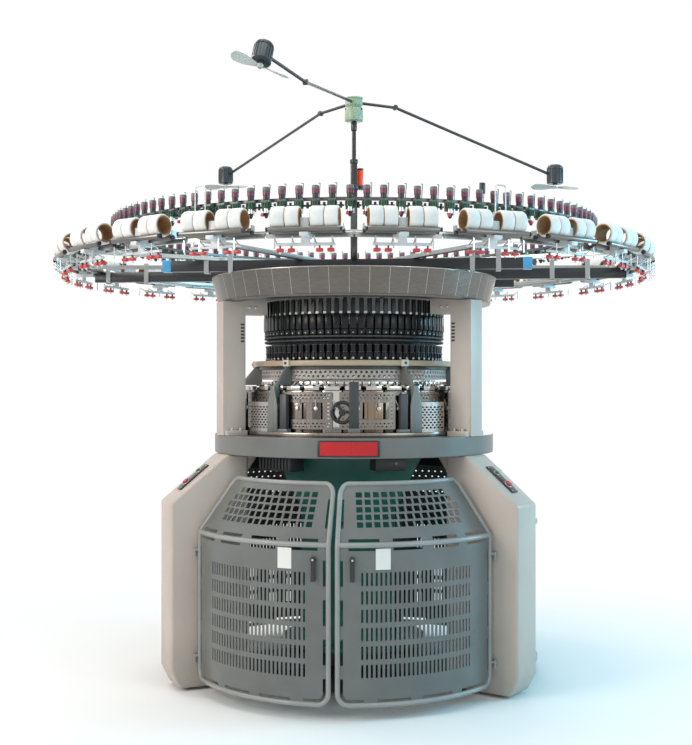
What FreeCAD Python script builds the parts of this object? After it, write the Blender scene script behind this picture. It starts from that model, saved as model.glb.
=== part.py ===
"""Large-diameter circular knitting machine with a ring creel for bare elastane yarn.

Millimetres, +Z up, origin on the floor under the machine axis, gates towards -Y.
Pieces that stand round the axis are drawn along +X (X outwards, Y along the ring)
and are then turned to their bearing. The front of the machine is at bearing -90.
"""
import FreeCAD, Part
import math
import os

Vector = FreeCAD.Vector
ORIGIN = Vector(0, 0, 0)
UP = Vector(0, 0, 1)
FRONT = -90.0

# ---- clearances
running_gap = 0.3          # between turning and standing faces
fit_gap = 0.05             # radial, shaft in bearing
panel_gap = 8.0            # between a cover and its neighbour

# ---- bed, legs and floor frame
bed_radius = 750.0
bed_bore = 590.0
bed_ledge_bore = 470.0
bed_bottom = 1180.0
bed_height = 97.0
bed_ledge = 20.0
plate_width = 300.0
plate_height = 78.0
plate_thickness = 4.0
plate_bearing = -86.5       # a little to the right of the gates' meeting edge
leg_bearings = {"left": -150.0, "right": -30.0, "rear": 90.0}
leg_width = 200.0
leg_outer = 1045.0
leg_inner = 640.0
leg_shoulder = 945.0
leg_toe_in = 45.0
leg_toe_rise = 90.0
foot_height = 15.0
foot_radius = 38.0
foot_inset = 70.0
cross_bottom = 40.0
cross_height = 90.0
cross_width = 130.0
cross_hub_radius = 170.0
pivot_radius = 60.0

# ---- control panels on the leg slopes
panel_length = 190.0
panel_width = 56.0
panel_thickness = 8.0
button_radius = 11.0
stop_radius = 17.0
button_stem = 7.0
button_proud = 12.0
button_travel = 4.0
button_pitch = 42.0

# ---- columns and top ring
column_depth = 120.0
column_width = 110.0
column_overhang = 10.0
flange_margin = 32.0
flange_height = 25.0
bolt_radius = 9.0
bolt_head = 12.0
top_ring_bottom = 1976.0
top_ring_height = 24.0
top_ring_bore = 500.0
bracket_depth = 46.0
bracket_reach = 445.0
bracket_gusset = 70.0
crown_radius = 766.0
crown_foot_radius = 680.0
crown_bottom = 1965.0
crown_top = 2105.0
crown_sheet = 4.0

# ---- cylinder, cam boxes and yarn guide rings
cylinder_outer = 440.0
cylinder_inner = 415.0
cylinder_top = 1560.0
gear_radius = 500.0
gear_height = 38.0
cam_count = 36
cam_outer = 596.0
cam_top = 1530.0
cam_gap = 5.0
cam_plate_outer = 640.0
cam_plate_height = 23.0
cylinder_clearance = 6.0
fin_spread = 34.0
fin_thickness = 12.0
guard_height = 150.0
guard_thickness = 3.0
guard_inset = 6.0
guard_sweep = 15.0
guard_spread = 44.0
fin_shoulder = 212.0       # height of the fin's upright outer edge
guide_radius = 500.0
guide_bottom = 1565.0
guide_height = 49.0
guide_wall = 6.0
guide_hole_count = 36
guide_hole = 12.0
support_outer = 540.0
support_inner = 500.0
support_bottom = 1632.0
support_height = 28.0
knob_radius = 58.0
knob_height = 1400.0
knob_shaft = 12.0
knob_standoff = 14.0
knob_thickness = 16.0

# ---- positive feeders
feeder_count = 72
feeder_outer = 490.0
feeder_inner = 432.0
feeder_bottom = 1664.0
feeder_top = 1900.0
feeder_taper = 14.0
feeder_width = 34.0
feeder_ring_inner = 420.0
feeder_ring_outer = 470.0

# ---- gates
gate_radius = 815.0
gate_centre = 205.0        # the gates' own axis lies this far in front of the machine axis
gate_bottom = 60.0
gate_knee = 815.0
gate_top = 1080.0
gate_top_radius = 600.0
gate_tube = 25.0
gate_sheet = 2.0
gate_sheet_inset = 14.0
gate_half_gap = 8.0
gate_corner = 52.0
gate_leg_gap = 14.0
hood_inset = 4.0
slot_rows = 6
slot_columns = 13
slot_height = 60.0
slot_width = 20.0
slot_row_pitch = 84.0
slot_first = 197.0
slot_start = 9.0           # degrees from the front edge of the gate to the first slot
slot_span = 41.0           # degrees that the rows of slots take up
square_rows = 4
square_columns = 9
square_hole = 32.0
square_row_pitch = 42.0
square_first = 878.0
square_start = 11.0
square_span = 37.0
guard_columns = 7          # the fixed guards of the two rear bays have fewer, wider openings
guard_slot_width = 40.0
guard_square_rows = 3
guard_square_columns = 6
guard_lug = 20.0
handle_length = 114.0
handle_width = 26.0
handle_depth = 22.0
handle_thickness = 8.0
handle_foot = 14.0
handle_bearing = 5.8
handle_height = 637.0
hinge_pin = 5.0
knuckle_radius = 9.0
knuckle_length = 40.0
knuckle_gap = 3.0
hinge_heights = (170.0, 700.0)

# ---- take-down and drive
frame_half_width = 380.0
frame_foot_half_width = 240.0
frame_waist = 900.0
frame_plate = 25.0
frame_spacing = 300.0
frame_bottom = 190.0
frame_top = 1170.0
turntable_radius = 380.0
turntable_height = 30.0
nip_radius = 32.0
nip_height = 820.0
roller_end_gap = 1.0
batch_radius = 95.0
batch_height = 420.0
journal_radius = 12.0
shaft_radius = 14.0
pinion_radius = 44.5
pinion_height = 32.0
motor_radius = 88.0
motor_length = 300.0
motor_bottom = 380.0
motor_bracket = 40.0
pinion_rise = 3.0          # foot of the pinion above the foot of the gear ring
neck_depth = 60.0          # radial depth of the ring between the side plates and the gear
neck_lip = 12.0

# ---- creel: beams, spokes and package ring
beam_bottom = 2110.0
beam_height = 55.0
beam_thickness = 40.0
front_beam_half = 885.0
front_beam_y = -500.0
centre_beam_y = 45.0
rear_beam_y = 560.0
rear_beam_half = 885.0
end_block = 46.0
end_block_margin = 3.0
post_radius = 12.0
creel_turn = -2.0
unit_count = 24
package_ring = 1528.0
package_axis = 2222.0
package_radius = 50.0
package_group_length = 121.0
package_group_pitch = 165.0
package_sides = 10
roller_radius = 12.0
roller_length = 300.0
spoke_count = 12
spoke_width = 30.0
spoke_thickness = 20.0
spoke_hub = 90.0
rail_setback = 88.0        # from the packages' ring in to the rail's corners
rail_width = 24.0
block_width = 38.0
saddle_height = 18.0
saddle_wall = 10.0
stem_drop = 34.0
bar_size = 12.0
sensor_width = 22.0
sensor_length = 84.0
sensor_drop = 26.0

# ---- upper ring of storage feeders
storage_count = 108
storage_setback = 251.0    # from the packages' ring in to the storage feeders' middles
storage_side = 3           # feeders on each straight length of the rail
storage_rail_z = 2338.0
storage_rail_height = 14.0
storage_rail_width = 16.0
storage_width = 34.0
storage_depth = 46.0
storage_top = 2400.0
storage_bottom = 2262.0
strut_size = 16.0

# ---- fan
mast_radius = 19.0
mast_top_radius = 11.5
mast_neck = 218.0          # length of the thinner part below the hub
mast_flange = 60.0
mast_flange_height = 15.0
hub_radius = 48.0
hub_bottom = 2968.0
hub_height = 122.0
spigot_length = 30.0
lamp_radius = 17.0
lamp_drop = 130.0          # foot of the lens below the step in the mast
lamp_gap = 2.0
lamp_height = 95.0
lamp_base = 20.0
lamp_flare = 4.0
lamp_collar = 7.0
lamp_bearing = 40.0
fan_turn = -14.5
arm_radius = 8.0
arm_seat = 12.0            # how far the arm enters the hub's and the motor's sockets
arm_level = 0.82           # height of the sockets, as a share of the hub
knee_radius = 14.0
knee_width = 22.0
fan_motor_radius = 44.0
fan_motor_height = 105.0
fan_shaft_radius = 5.0
fan_shaft_length = 34.0
fan_dome = 14.0
blade_drop = 12.0          # from the motor's face to the blade's hub
blade_pitch = 14.0
blade_length = 140.0
blade_width = 42.0
blade_thickness = 3.0
blade_hub_radius = 14.0
blade_hub_height = 16.0
blade_root_width = 16.0
blade_turns = {"near": 135.0, "right": 0.0, "far": 45.0}
# name, place round the hub, reach of the elbow and its rise from the hub's foot, reach of the motor and
# its height over the storage feeders, the motor's tilt
fan_arms = (
    ("near", 0.0, (690.0, 42.0), (1190.0, 616.0), 24.0),
    ("right", 120.0, (229.0, 84.0), (1144.0, 316.0), 0.0),
    ("far", -120.0, (293.0, 96.0), (1250.0, 450.0), 0.0),
)

# ---- sizes that follow from those above
bed_top = bed_bottom + bed_height
ledge_top = bed_bottom + bed_ledge
cam_bottom = bed_top + cam_plate_height
column_outer = bed_radius + column_overhang
column_inner = column_outer - column_depth
top_ring_top = top_ring_bottom + top_ring_height
bracket_bottom = top_ring_bottom - bracket_depth
beam_top = beam_bottom + beam_height
spoke_top = beam_top + spoke_thickness
gear_bottom = ledge_top + running_gap
shaft_orbit = gear_radius + running_gap + pinion_radius
rail_radius = package_ring - rail_setback
storage_ring = package_ring - storage_setback
mast_step = hub_bottom - mast_neck


def turned(profile, start=0.0, sweep=360.0):
    """Solid of a closed (radius, height) profile turned about the machine axis."""
    points = [Vector(radius, 0, height) for radius, height in profile]
    solid = Part.Face(Part.makePolygon(points + points[:1])).revolve(ORIGIN, UP, sweep)
    solid.rotate(ORIGIN, UP, start)
    return solid


def ring(inner, outer, bottom, top, start=0.0, sweep=360.0):
    """Plain ring of rectangular section about the machine axis."""
    section = [(inner, bottom), (outer, bottom), (outer, top), (inner, top)]
    return turned(section, start, sweep)


def polygon_ring(inner, outer, bottom, top, sides, turn):
    """Ring of straight rails, one to a side, with its corners on the given radii."""
    def plate(radius):
        corners = [polar(radius, turn + 360.0 * side / sides, bottom) for side in range(sides)]
        return Part.Face(Part.makePolygon(corners + corners[:1])).extrude(Vector(0, 0, top - bottom))
    return plate(outer).cut(plate(inner))


def polar(radius, bearing, height):
    angle = math.radians(bearing)
    return Vector(radius * math.cos(angle), radius * math.sin(angle), height)


def bearings(count, turn=0.0):
    return [turn + 360.0 * place / count for place in range(count)]


def block(x, y, z, bearing=0.0):
    """Box between pairs of x, y and z, turned to its bearing about the machine axis."""
    solid = Part.makeBox(x[1] - x[0], y[1] - y[0], z[1] - z[0], Vector(x[0], y[0], z[0]))
    solid.rotate(ORIGIN, UP, bearing)
    return solid


def side_plate(outline, width, bearing=0.0):
    """Plate with an outline of (radius, height) points, as thick as width, across the radius."""
    points = [Vector(radius, -width / 2, height) for radius, height in outline]
    solid = Part.Face(Part.makePolygon(points + points[:1])).extrude(Vector(0, width, 0))
    solid.rotate(ORIGIN, UP, bearing)
    return solid


def rod(start, end, radius):
    run = end - start
    return Part.makeCylinder(radius, run.Length, start, run)


def fused(shapes):
    return shapes[0].multiFuse(list(shapes[1:])).removeSplitter()


def save(name, *shapes):
    """Write one node; several shapes stay separate solids."""
    shape = shapes[0] if len(shapes) == 1 else Part.makeCompound(list(shapes))
    shape.exportStep("parts/" + name + ".step")


# ------------------------------------------------------------------ floor frame and legs
def leg(bearing):
    """Box casting that widens outwards below the bed and slopes in to meet it."""
    outline = [
        (leg_inner, foot_height),
        (leg_outer - leg_toe_in, foot_height),
        (leg_outer, foot_height + leg_toe_rise),
        (leg_outer, leg_shoulder),
        (bed_radius + panel_gap, bed_bottom),
        (leg_inner, bed_bottom),
    ]
    return side_plate(outline, leg_width, bearing)


def levelling_feet():
    """Two round pads under each leg."""
    feet = []
    for bearing in leg_bearings.values():
        for reach in (leg_inner + foot_inset, leg_outer - leg_toe_in - foot_inset):
            feet.append(Part.makeCylinder(foot_radius, foot_height, polar(reach, bearing, 0)))
    return feet


def base_cross():
    """Three-armed floor casting that ties the legs and carries the take-down pivot."""
    top = cross_bottom + cross_height
    pieces = [Part.makeCylinder(cross_hub_radius, cross_height, Vector(0, 0, cross_bottom))]
    for bearing in leg_bearings.values():
        pieces.append(block((0, leg_inner), (-cross_width / 2, cross_width / 2),
                            (cross_bottom, top), bearing))
    pivot_hole = Part.makeCylinder(pivot_radius + fit_gap, cross_height, Vector(0, 0, cross_bottom))
    return fused(pieces).cut(pivot_hole)


# ------------------------------------------------------------------ control panels and buttons
def slope_frame():
    """Centre of a leg's slope, its direction down the slope and its outward normal."""
    upper = Vector(bed_radius + panel_gap, 0, bed_bottom)
    lower = Vector(leg_outer, 0, leg_shoulder)
    down = (lower - upper).normalize()
    normal = Vector(-down.z, 0, down.x)
    return (upper + lower) * 0.5, down, normal


def on_slope(shape, bearing, along=0.0, above=0.0):
    """Move a shape drawn on the XY plane (X down the slope, Z outwards) to a leg's slope."""
    centre, down, normal = slope_frame()
    tilt = FreeCAD.Rotation(down, Vector(0, 1, 0), normal, "XYZ")
    placed = shape.copy()
    placed.Placement = FreeCAD.Placement(centre + down * along + normal * above, tilt)
    placed.rotate(ORIGIN, UP, bearing)
    return placed


button_places = {"start_button": -button_pitch, "stop_button": button_pitch}


def control_panel(bearing):
    plate = Part.makeBox(panel_length, panel_width, panel_thickness,
                         Vector(-panel_length / 2, -panel_width / 2, 0))
    for along in button_places.values():
        hole = Part.makeCylinder(button_stem + fit_gap, panel_thickness, Vector(along, 0, 0))
        plate = plate.cut(hole)
    return on_slope(plate, bearing)


def push_button(bearing, along, radius):
    """Stem in the panel's hole and a wider cap above it, with room to travel."""
    cap_base = panel_thickness + button_travel + running_gap
    stem_base = button_travel + running_gap
    stem = Part.makeCylinder(button_stem, cap_base - stem_base, Vector(0, 0, stem_base))
    cap = Part.makeCylinder(radius, button_proud - button_travel, Vector(0, 0, cap_base))
    return on_slope(stem.fuse(cap).removeSplitter(), bearing, along)


# ------------------------------------------------------------------ bed, columns, top ring
def bed_ring():
    """Turned casting with a ledge inside, which the cylinder's gear ring runs on."""
    profile = [
        (bed_ledge_bore, bed_bottom),
        (bed_radius, bed_bottom),
        (bed_radius, bed_top),
        (bed_bore, bed_top),
        (bed_bore, ledge_top),
        (bed_ledge_bore, ledge_top),
    ]
    shaft_hole = Part.makeCylinder(shaft_radius + fit_gap, bed_ledge,
                                   polar(shaft_orbit, leg_bearings["rear"], bed_bottom))
    return turned(profile).cut(shaft_hole)


def front_plate():
    """Bare plate with a raised rim, bent to the bed ring between the gates' hoods."""
    middle = bed_bottom + bed_height / 2
    half = plate_height / 2
    sweep = math.degrees(plate_width / bed_radius)
    face = bed_radius + plate_thickness
    return ring(bed_radius, face, middle - half, middle + half, plate_bearing - sweep / 2, sweep)


def column(bearing):
    """Upright casting with a foot flange, four bolts and a bracket under the top ring."""
    flange_top = bed_top + flange_height
    inside_crown = math.sqrt((crown_foot_radius - crown_sheet) ** 2 - (column_width / 2) ** 2) - running_gap
    outline = [
        (column_inner, bed_top),
        (column_outer, bed_top),
        (column_outer, crown_bottom - running_gap),
        (inside_crown, crown_bottom - running_gap),
        (inside_crown, top_ring_bottom),
        (bracket_reach, top_ring_bottom),
        (bracket_reach, bracket_bottom),
        (column_inner - bracket_gusset, bracket_bottom),
        (column_inner, bracket_bottom - bracket_gusset),
    ]
    half = column_width / 2 + flange_margin
    flange = block((cam_plate_outer + running_gap, bed_radius), (-half, half), (bed_top, flange_top))
    body = side_plate(outline, column_width).fuse(flange).removeSplitter()
    bolts = []
    for side in (-1, 1):
        across = side * (column_width / 2 + flange_margin / 2)
        for reach in (cam_plate_outer + flange_margin, bed_radius - flange_margin):
            bolts.append(hex_head(Vector(reach, across, flange_top)))
    pieces = [body] + bolts
    for piece in pieces:
        piece.rotate(ORIGIN, UP, bearing)
    return pieces


def hex_head(place):
    """Hexagon bolt head standing on a face."""
    corners = [place + polar(bolt_radius, 60.0 * corner, 0) for corner in range(6)]
    return Part.Face(Part.makePolygon(corners + corners[:1])).extrude(Vector(0, 0, bolt_head))


def crown_cover():
    """Conical stainless cover round the top ring, wide at the top."""
    profile = [
        (crown_foot_radius, crown_bottom),
        (crown_radius, crown_top),
        (crown_radius - crown_sheet, crown_top),
        (crown_foot_radius - crown_sheet, crown_bottom),
    ]
    return turned(profile)


def top_ring():
    """Ring casting on the three column brackets; its rim fills the crown cover."""
    slope = (crown_radius - crown_foot_radius) / (crown_top - crown_bottom)

    def rim(height):
        return crown_foot_radius - crown_sheet + slope * (height - crown_bottom)
    profile = [
        (top_ring_bore, top_ring_bottom),
        (rim(top_ring_bottom), top_ring_bottom),
        (rim(top_ring_top), top_ring_top),
        (top_ring_bore, top_ring_top),
    ]
    return turned(profile)


# ------------------------------------------------------------------ knitting head
def cam_box(bearing):
    """Tapered steel block that holds the cams of one feeder, standing round the cylinder."""
    inner = cylinder_outer + cylinder_clearance
    half_pitch = math.tan(math.radians(180.0 / cam_count))
    inner_half = inner * half_pitch - cam_gap / 2
    outer_half = cam_outer * half_pitch - cam_gap / 2
    corners = [Vector(inner, -inner_half, cam_bottom), Vector(cam_outer, -outer_half, cam_bottom),
               Vector(cam_outer, outer_half, cam_bottom), Vector(inner, inner_half, cam_bottom)]
    solid = Part.Face(Part.makePolygon(corners + corners[:1])).extrude(Vector(0, 0, cam_top - cam_bottom))
    solid.rotate(ORIGIN, UP, bearing)
    return solid


def guide_ring():
    """Thin ring with a row of yarn holes."""
    hoop = ring(guide_radius - guide_wall, guide_radius, guide_bottom, guide_bottom + guide_height)
    middle = guide_bottom + guide_height / 2
    reach = (guide_radius - 2 * guide_wall, guide_radius + guide_wall)
    holes = [block(reach, (-guide_hole / 2, guide_hole / 2),
                   (middle - guide_hole / 2, middle + guide_hole / 2), bearing)
             for bearing in bearings(guide_hole_count, 180.0 / guide_hole_count)]
    return hoop.cut(Part.makeCompound(holes))


def ring_fin(bearing):
    """Curved upright bracket from the cam plate to the feeder support ring."""
    outline = [
        (cam_outer + cam_gap, cam_bottom),
        (cam_plate_outer, cam_bottom),
        (cam_plate_outer, cam_bottom + fin_shoulder),
        (support_outer, support_bottom),
        (guide_radius + running_gap, support_bottom),
        (guide_radius + running_gap, cam_top + cam_gap),
        (cam_outer + cam_gap, cam_top + cam_gap),
    ]
    return side_plate(outline, fin_thickness, bearing)


def mesh_guard(bearing):
    """Low curved guard plate on the cam plate's rim, beside a fin."""
    return ring(cam_plate_outer - guard_thickness - guard_inset, cam_plate_outer - guard_inset,
                cam_bottom, cam_bottom + guard_height, bearing - guard_sweep / 2, guard_sweep)


fin_bearings = [FRONT + third + side * fin_spread for third in (0, 120, 240) for side in (-1, 1)]


def knob():
    """Round adjusting knob on a short shaft, in front of the corners of the two middle cam boxes."""
    face = cam_outer / math.cos(math.radians(180.0 / cam_count)) + running_gap
    shaft = Part.makeCylinder(knob_shaft, knob_standoff, Vector(face, 0, knob_height), Vector(1, 0, 0))
    wheel = Part.makeCylinder(knob_radius, knob_thickness, Vector(face + knob_standoff, 0, knob_height),
                              Vector(1, 0, 0))
    solid = shaft.fuse(wheel).removeSplitter()
    solid.rotate(ORIGIN, UP, FRONT)
    return solid


# ------------------------------------------------------------------ positive feeders
def feeder(bearing):
    """One belt-driven yarn feeder, narrower at its foot."""
    outline = [
        (feeder_inner, feeder_bottom),
        (feeder_outer - feeder_taper, feeder_bottom),
        (feeder_outer, feeder_top),
        (feeder_inner, feeder_top),
    ]
    return side_plate(outline, feeder_width, bearing)


# ------------------------------------------------------------------ gates
def gate_axis_turn(shape, bearing=0.0):
    """Move a shape drawn about the machine axis to the gates' own axis, turned to its bearing."""
    placed = shape.copy()
    placed.rotate(ORIGIN, UP, FRONT + bearing)
    placed.translate(Vector(0, -gate_centre, 0))
    return placed


def gate_end_angle():
    """Bearing from the front at which the gate's circle comes within its gap of the leg's side."""
    side = leg_width / 2 + gate_leg_gap
    lean = math.radians(leg_bearings["right"] - FRONT)
    # distance of a point at angle a from the leg's middle plane, set equal to side
    across = (side - gate_centre * math.sin(lean)) / gate_radius
    return math.degrees(lean) - math.degrees(math.asin(across))


gate_end = gate_end_angle()
gate_start = math.degrees(math.asin(gate_half_gap / gate_radius))
knuckle_orbit = gate_radius + knuckle_radius + knuckle_gap


def gate_sector(profile, start, end):
    """Part of a turned form between two bearings from the front, on the right-hand side."""
    return gate_axis_turn(turned(profile, start, end - start))


def cone_radius(height):
    """Outer radius of the gate at a height: upright below the knee, leaning in above it."""
    if height <= gate_knee:
        return gate_radius
    return gate_radius - (gate_radius - gate_top_radius) * (height - gate_knee) / (gate_top - gate_knee)


def corner_cut(bearing, toward, height, up):
    """What rounds off a corner of the gate, seen square on; toward and up, 1 or -1, lead away from it."""
    lean = toward * math.degrees(gate_corner / cone_radius(height))
    reach = (gate_top_radius - gate_tube, gate_radius + gate_tube)
    across = sorted((0, -toward * (gate_corner + gate_tube)))
    rise = sorted((height + up * gate_corner, height - up * gate_tube))
    round_part = Part.makeCylinder(gate_corner, reach[1] - reach[0],
                                   Vector(reach[0], 0, height + up * gate_corner), Vector(1, 0, 0))
    return gate_axis_turn(block(reach, across, rise).cut(round_part), bearing + lean)


def round_gate(shape):
    for bearing, toward in ((gate_start, 1), (gate_end, -1)):
        for height, up in ((gate_bottom, 1), (gate_top, -1)):
            shape = shape.cut(corner_cut(bearing, toward, height, up))
    return shape


def gate_frame():
    """Bent tube frame: three bows and two uprights that lean in above the knee, with rounded corners."""
    tube = gate_tube
    rails = []
    for height in (gate_bottom, gate_knee - tube):
        section = [(gate_radius - tube, height), (gate_radius, height),
                   (gate_radius, height + tube), (gate_radius - tube, height + tube)]
        rails.append(gate_sector(section, gate_start, gate_end))
    top_section = [(gate_top_radius, gate_top - tube), (gate_top_radius + tube, gate_top - tube),
                   (gate_top_radius + tube, gate_top), (gate_top_radius, gate_top)]
    rails.append(gate_sector(top_section, gate_start, gate_end))
    upright = [(gate_radius - tube, gate_bottom), (gate_radius, gate_bottom),
               (gate_radius, gate_knee), (gate_top_radius + tube, gate_top), (gate_top_radius, gate_top),
               (gate_top_radius, gate_top - tube), (gate_radius - tube, gate_knee - tube)]
    tube_angle = math.degrees(tube / gate_radius)
    rails.append(gate_sector(upright, gate_start, gate_start + tube_angle))
    rails.append(gate_sector(upright, gate_end - tube_angle, gate_end))
    return round_gate(fused(rails))


def hinged(frame):
    """The frame with its hinge barrels."""
    return fused([frame] + [knuckle(height + running_gap, True) for height in hinge_heights])


def knuckle_place():
    """Hinge axis, just outside the gate's end, in plan."""
    angle = math.radians(gate_end)
    return Vector(knuckle_orbit * math.sin(angle), -gate_centre - knuckle_orbit * math.cos(angle), 0)


def knuckle(bottom, on_gate):
    """Hinge barrel half: bored and welded to the gate, or solid with the pin on the leg bracket."""
    place = knuckle_place()
    place.z = bottom
    length = knuckle_length / 2
    barrel = Part.makeCylinder(knuckle_radius, length, place)
    if on_gate:
        angle = math.radians(gate_end - 0.8)
        inner = gate_radius - gate_tube / 2
        foot = Vector(inner * math.sin(angle), -gate_centre - inner * math.cos(angle), bottom)
        weld = bar(place, foot, knuckle_radius, length)
        bore = Part.makeCylinder(hinge_pin + fit_gap, length, place)
        return barrel.fuse(weld).cut(bore)
    pin = Part.makeCylinder(hinge_pin, knuckle_length + running_gap, place)
    bearing = leg_bearings["right"]
    normal = polar(1, bearing - 90, 0)
    reach = place.dot(normal) - leg_width / 2
    foot = place - normal * reach
    return fused([barrel, pin, bar(place, foot, knuckle_radius, length)])


def bar(start, end, width, height):
    """Flat bar between two points in plan."""
    run = Vector(end.x - start.x, end.y - start.y, 0)
    length = run.Length
    solid = Part.makeBox(length, width, height, Vector(0, -width / 2, 0))
    solid.rotate(ORIGIN, UP, math.degrees(math.atan2(run.y, run.x)))
    solid.translate(start)
    return solid


def lower_panel(columns, width):
    """Curved sheet with six rows of upright slots, let into the frame."""
    outer = gate_radius - gate_sheet_inset + gate_sheet / 2
    section = [(outer - gate_sheet, gate_bottom + gate_tube), (outer, gate_bottom + gate_tube),
               (outer, gate_knee - gate_tube), (outer - gate_sheet, gate_knee - gate_tube)]
    tube_angle = math.degrees(gate_tube / gate_radius)
    sheet = gate_sector(section, gate_start + tube_angle, gate_end - tube_angle)
    pitch = slot_span / (columns - 1)
    cutters = []
    for row in range(slot_rows):
        bottom = slot_first + row * slot_row_pitch
        for column_number in range(columns):
            cutter = block((outer - 3 * gate_sheet, outer + gate_sheet), (-width / 2, width / 2),
                           (bottom, bottom + slot_height))
            cutters.append(gate_axis_turn(cutter, gate_start + slot_start + column_number * pitch))
    return sheet.cut(Part.makeCompound(cutters))


def upper_panel(rows, columns):
    """Leaning sheet with rows of square holes."""
    low, high = gate_knee, gate_top - gate_tube

    def leaning(height):
        return cone_radius(height) - hood_inset
    section = [(leaning(low) - gate_sheet, low), (leaning(low), low),
               (leaning(high), high), (leaning(high) - gate_sheet, high)]
    tube_angle = math.degrees(gate_tube / gate_radius)
    sheet = gate_sector(section, gate_start + tube_angle, gate_end - tube_angle)
    wide = square_hole * square_columns / columns
    tall = square_hole * square_rows / rows
    row_pitch = square_row_pitch * tall / square_hole
    first = square_first + ((square_rows - 1) * square_row_pitch - (rows - 1) * row_pitch) / 2
    cutters = []
    for row in range(rows):
        middle = first + row * row_pitch
        radius = leaning(middle)
        section = [(radius - tall, middle - tall / 2), (radius + tall, middle - tall / 2),
                   (radius + tall, middle + tall / 2), (radius - tall, middle + tall / 2)]
        half = math.degrees(wide / 2 / radius)
        for column_number in range(columns):
            bearing = gate_start + square_start + column_number * square_span / (columns - 1)
            cutters.append(gate_sector(section, bearing - half, bearing + half))
    return sheet.cut(Part.makeCompound(cutters))


def rear_guard(bay_bearing):
    """Fixed guard of a rear bay: two welded halves like the gates, on lugs from the legs' sides."""
    lugs = []
    angle = math.radians(gate_end) - gate_tube / 2 / gate_radius
    inner = gate_radius - gate_tube / 2
    normal = polar(1, leg_bearings["right"] - 90, 0)
    for height in hinge_heights:
        place = Vector(inner * math.sin(angle), -gate_centre - inner * math.cos(angle), height)
        foot = place - normal * (place.dot(normal) - leg_width / 2)
        lugs.append(bar(place, foot, guard_lug, guard_lug))
    sheets = [lower_panel(guard_columns, guard_slot_width),
              upper_panel(guard_square_rows, guard_square_columns)]
    half = fused([gate_frame()] + sheets + lugs)
    halves = [half, to_left(half)]
    for shape in halves:
        shape.rotate(ORIGIN, UP, bay_bearing - FRONT)
    return halves


def handle():
    """Bow handle bolted to the outside of the sheet near the front edge, with a gap for the fingers."""
    outer = gate_radius - gate_sheet_inset + gate_sheet / 2
    under = outer + handle_depth - handle_thickness
    across = (-handle_width / 2, handle_width / 2)
    grip = block((under, outer + handle_depth), across, (handle_height, handle_height + handle_length))
    feet = [block((outer, under), across, (bottom, bottom + handle_foot))
            for bottom in (handle_height, handle_height + handle_length - handle_foot)]
    return gate_axis_turn(fused([grip] + feet), gate_start + handle_bearing)


def to_left(shape):
    return shape.mirror(ORIGIN, Vector(1, 0, 0))


# ------------------------------------------------------------------ cylinder, take-down, drive
def cylinder_gear():
    """Needle cylinder with its gear ring, which runs on the bed's ledge."""
    profile = [
        (cylinder_inner, gear_bottom),
        (gear_radius, gear_bottom),
        (gear_radius, gear_bottom + gear_height),
        (cylinder_outer, gear_bottom + gear_height),
        (cylinder_outer, cylinder_top),
        (cylinder_inner, cylinder_top),
    ]
    return turned(profile)


def take_down_frame():
    """Two side plates under the cylinder, tied by a turntable that turns in the floor pivot."""
    outline = [
        Vector(-frame_foot_half_width, 0, frame_bottom),
        Vector(frame_foot_half_width, 0, frame_bottom),
        Vector(frame_foot_half_width, 0, frame_waist),
        Vector(frame_half_width, 0, frame_top),
        Vector(-frame_half_width, 0, frame_top),
        Vector(-frame_foot_half_width, 0, frame_waist),
    ]
    pieces = []
    for side in (-1, 1):
        inner = side * frame_spacing
        plate = Part.Face(Part.makePolygon(outline + outline[:1])).extrude(Vector(0, side * frame_plate, 0))
        plate.translate(Vector(0, inner, 0))
        for height in (nip_height, batch_height):
            for across in journal_offsets(height):
                hole = Part.makeCylinder(journal_radius + fit_gap, 2 * frame_plate,
                                         Vector(across, inner - frame_plate, height), Vector(0, 1, 0))
                plate = plate.cut(hole)
        pieces.append(plate)
    pieces.append(Part.makeCylinder(turntable_radius, turntable_height,
                                    Vector(0, 0, frame_bottom - turntable_height)))
    pieces.append(Part.makeCylinder(pivot_radius, frame_bottom - cross_bottom, Vector(0, 0, cross_bottom)))
    pieces.append(ring(cylinder_inner - neck_depth, cylinder_inner + neck_lip, frame_top, gear_bottom))
    return fused(pieces)


def journal_offsets(height):
    return (-nip_radius - running_gap, nip_radius + running_gap) if height == nip_height else (0.0,)


def roller(across, height, radius):
    """Roller between the side plates, on journals that run in them."""
    barrel_half = frame_spacing - roller_end_gap
    barrel = Part.makeCylinder(radius, 2 * barrel_half, Vector(across, -barrel_half, height), Vector(0, 1, 0))
    journal_half = frame_spacing + frame_plate
    journal = Part.makeCylinder(journal_radius, 2 * journal_half, Vector(across, -journal_half, height),
                                Vector(0, 1, 0))
    return barrel.fuse(journal).removeSplitter()


def drive_shaft():
    """Upright shaft from the motor through the bed ledge, with the pinion beside the gear ring."""
    place = polar(shaft_orbit, leg_bearings["rear"], 0)
    foot = motor_bottom + motor_length + running_gap
    top = gear_bottom + gear_height
    shaft = Part.makeCylinder(shaft_radius, top - foot, place + UP * foot)
    pinion = Part.makeCylinder(pinion_radius, pinion_height, place + UP * (gear_bottom + pinion_rise))
    return shaft.fuse(pinion).removeSplitter()


def drive_motor():
    place = polar(shaft_orbit, leg_bearings["rear"], motor_bottom)
    body = Part.makeCylinder(motor_radius, motor_length, place)
    return body


def motor_shelf():
    """Shelf on the rear leg's inner face that the motor stands on."""
    inner = shaft_orbit - motor_radius
    return block((inner, leg_inner), (-motor_radius, motor_radius),
                 (motor_bottom - motor_bracket, motor_bottom), leg_bearings["rear"])


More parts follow.
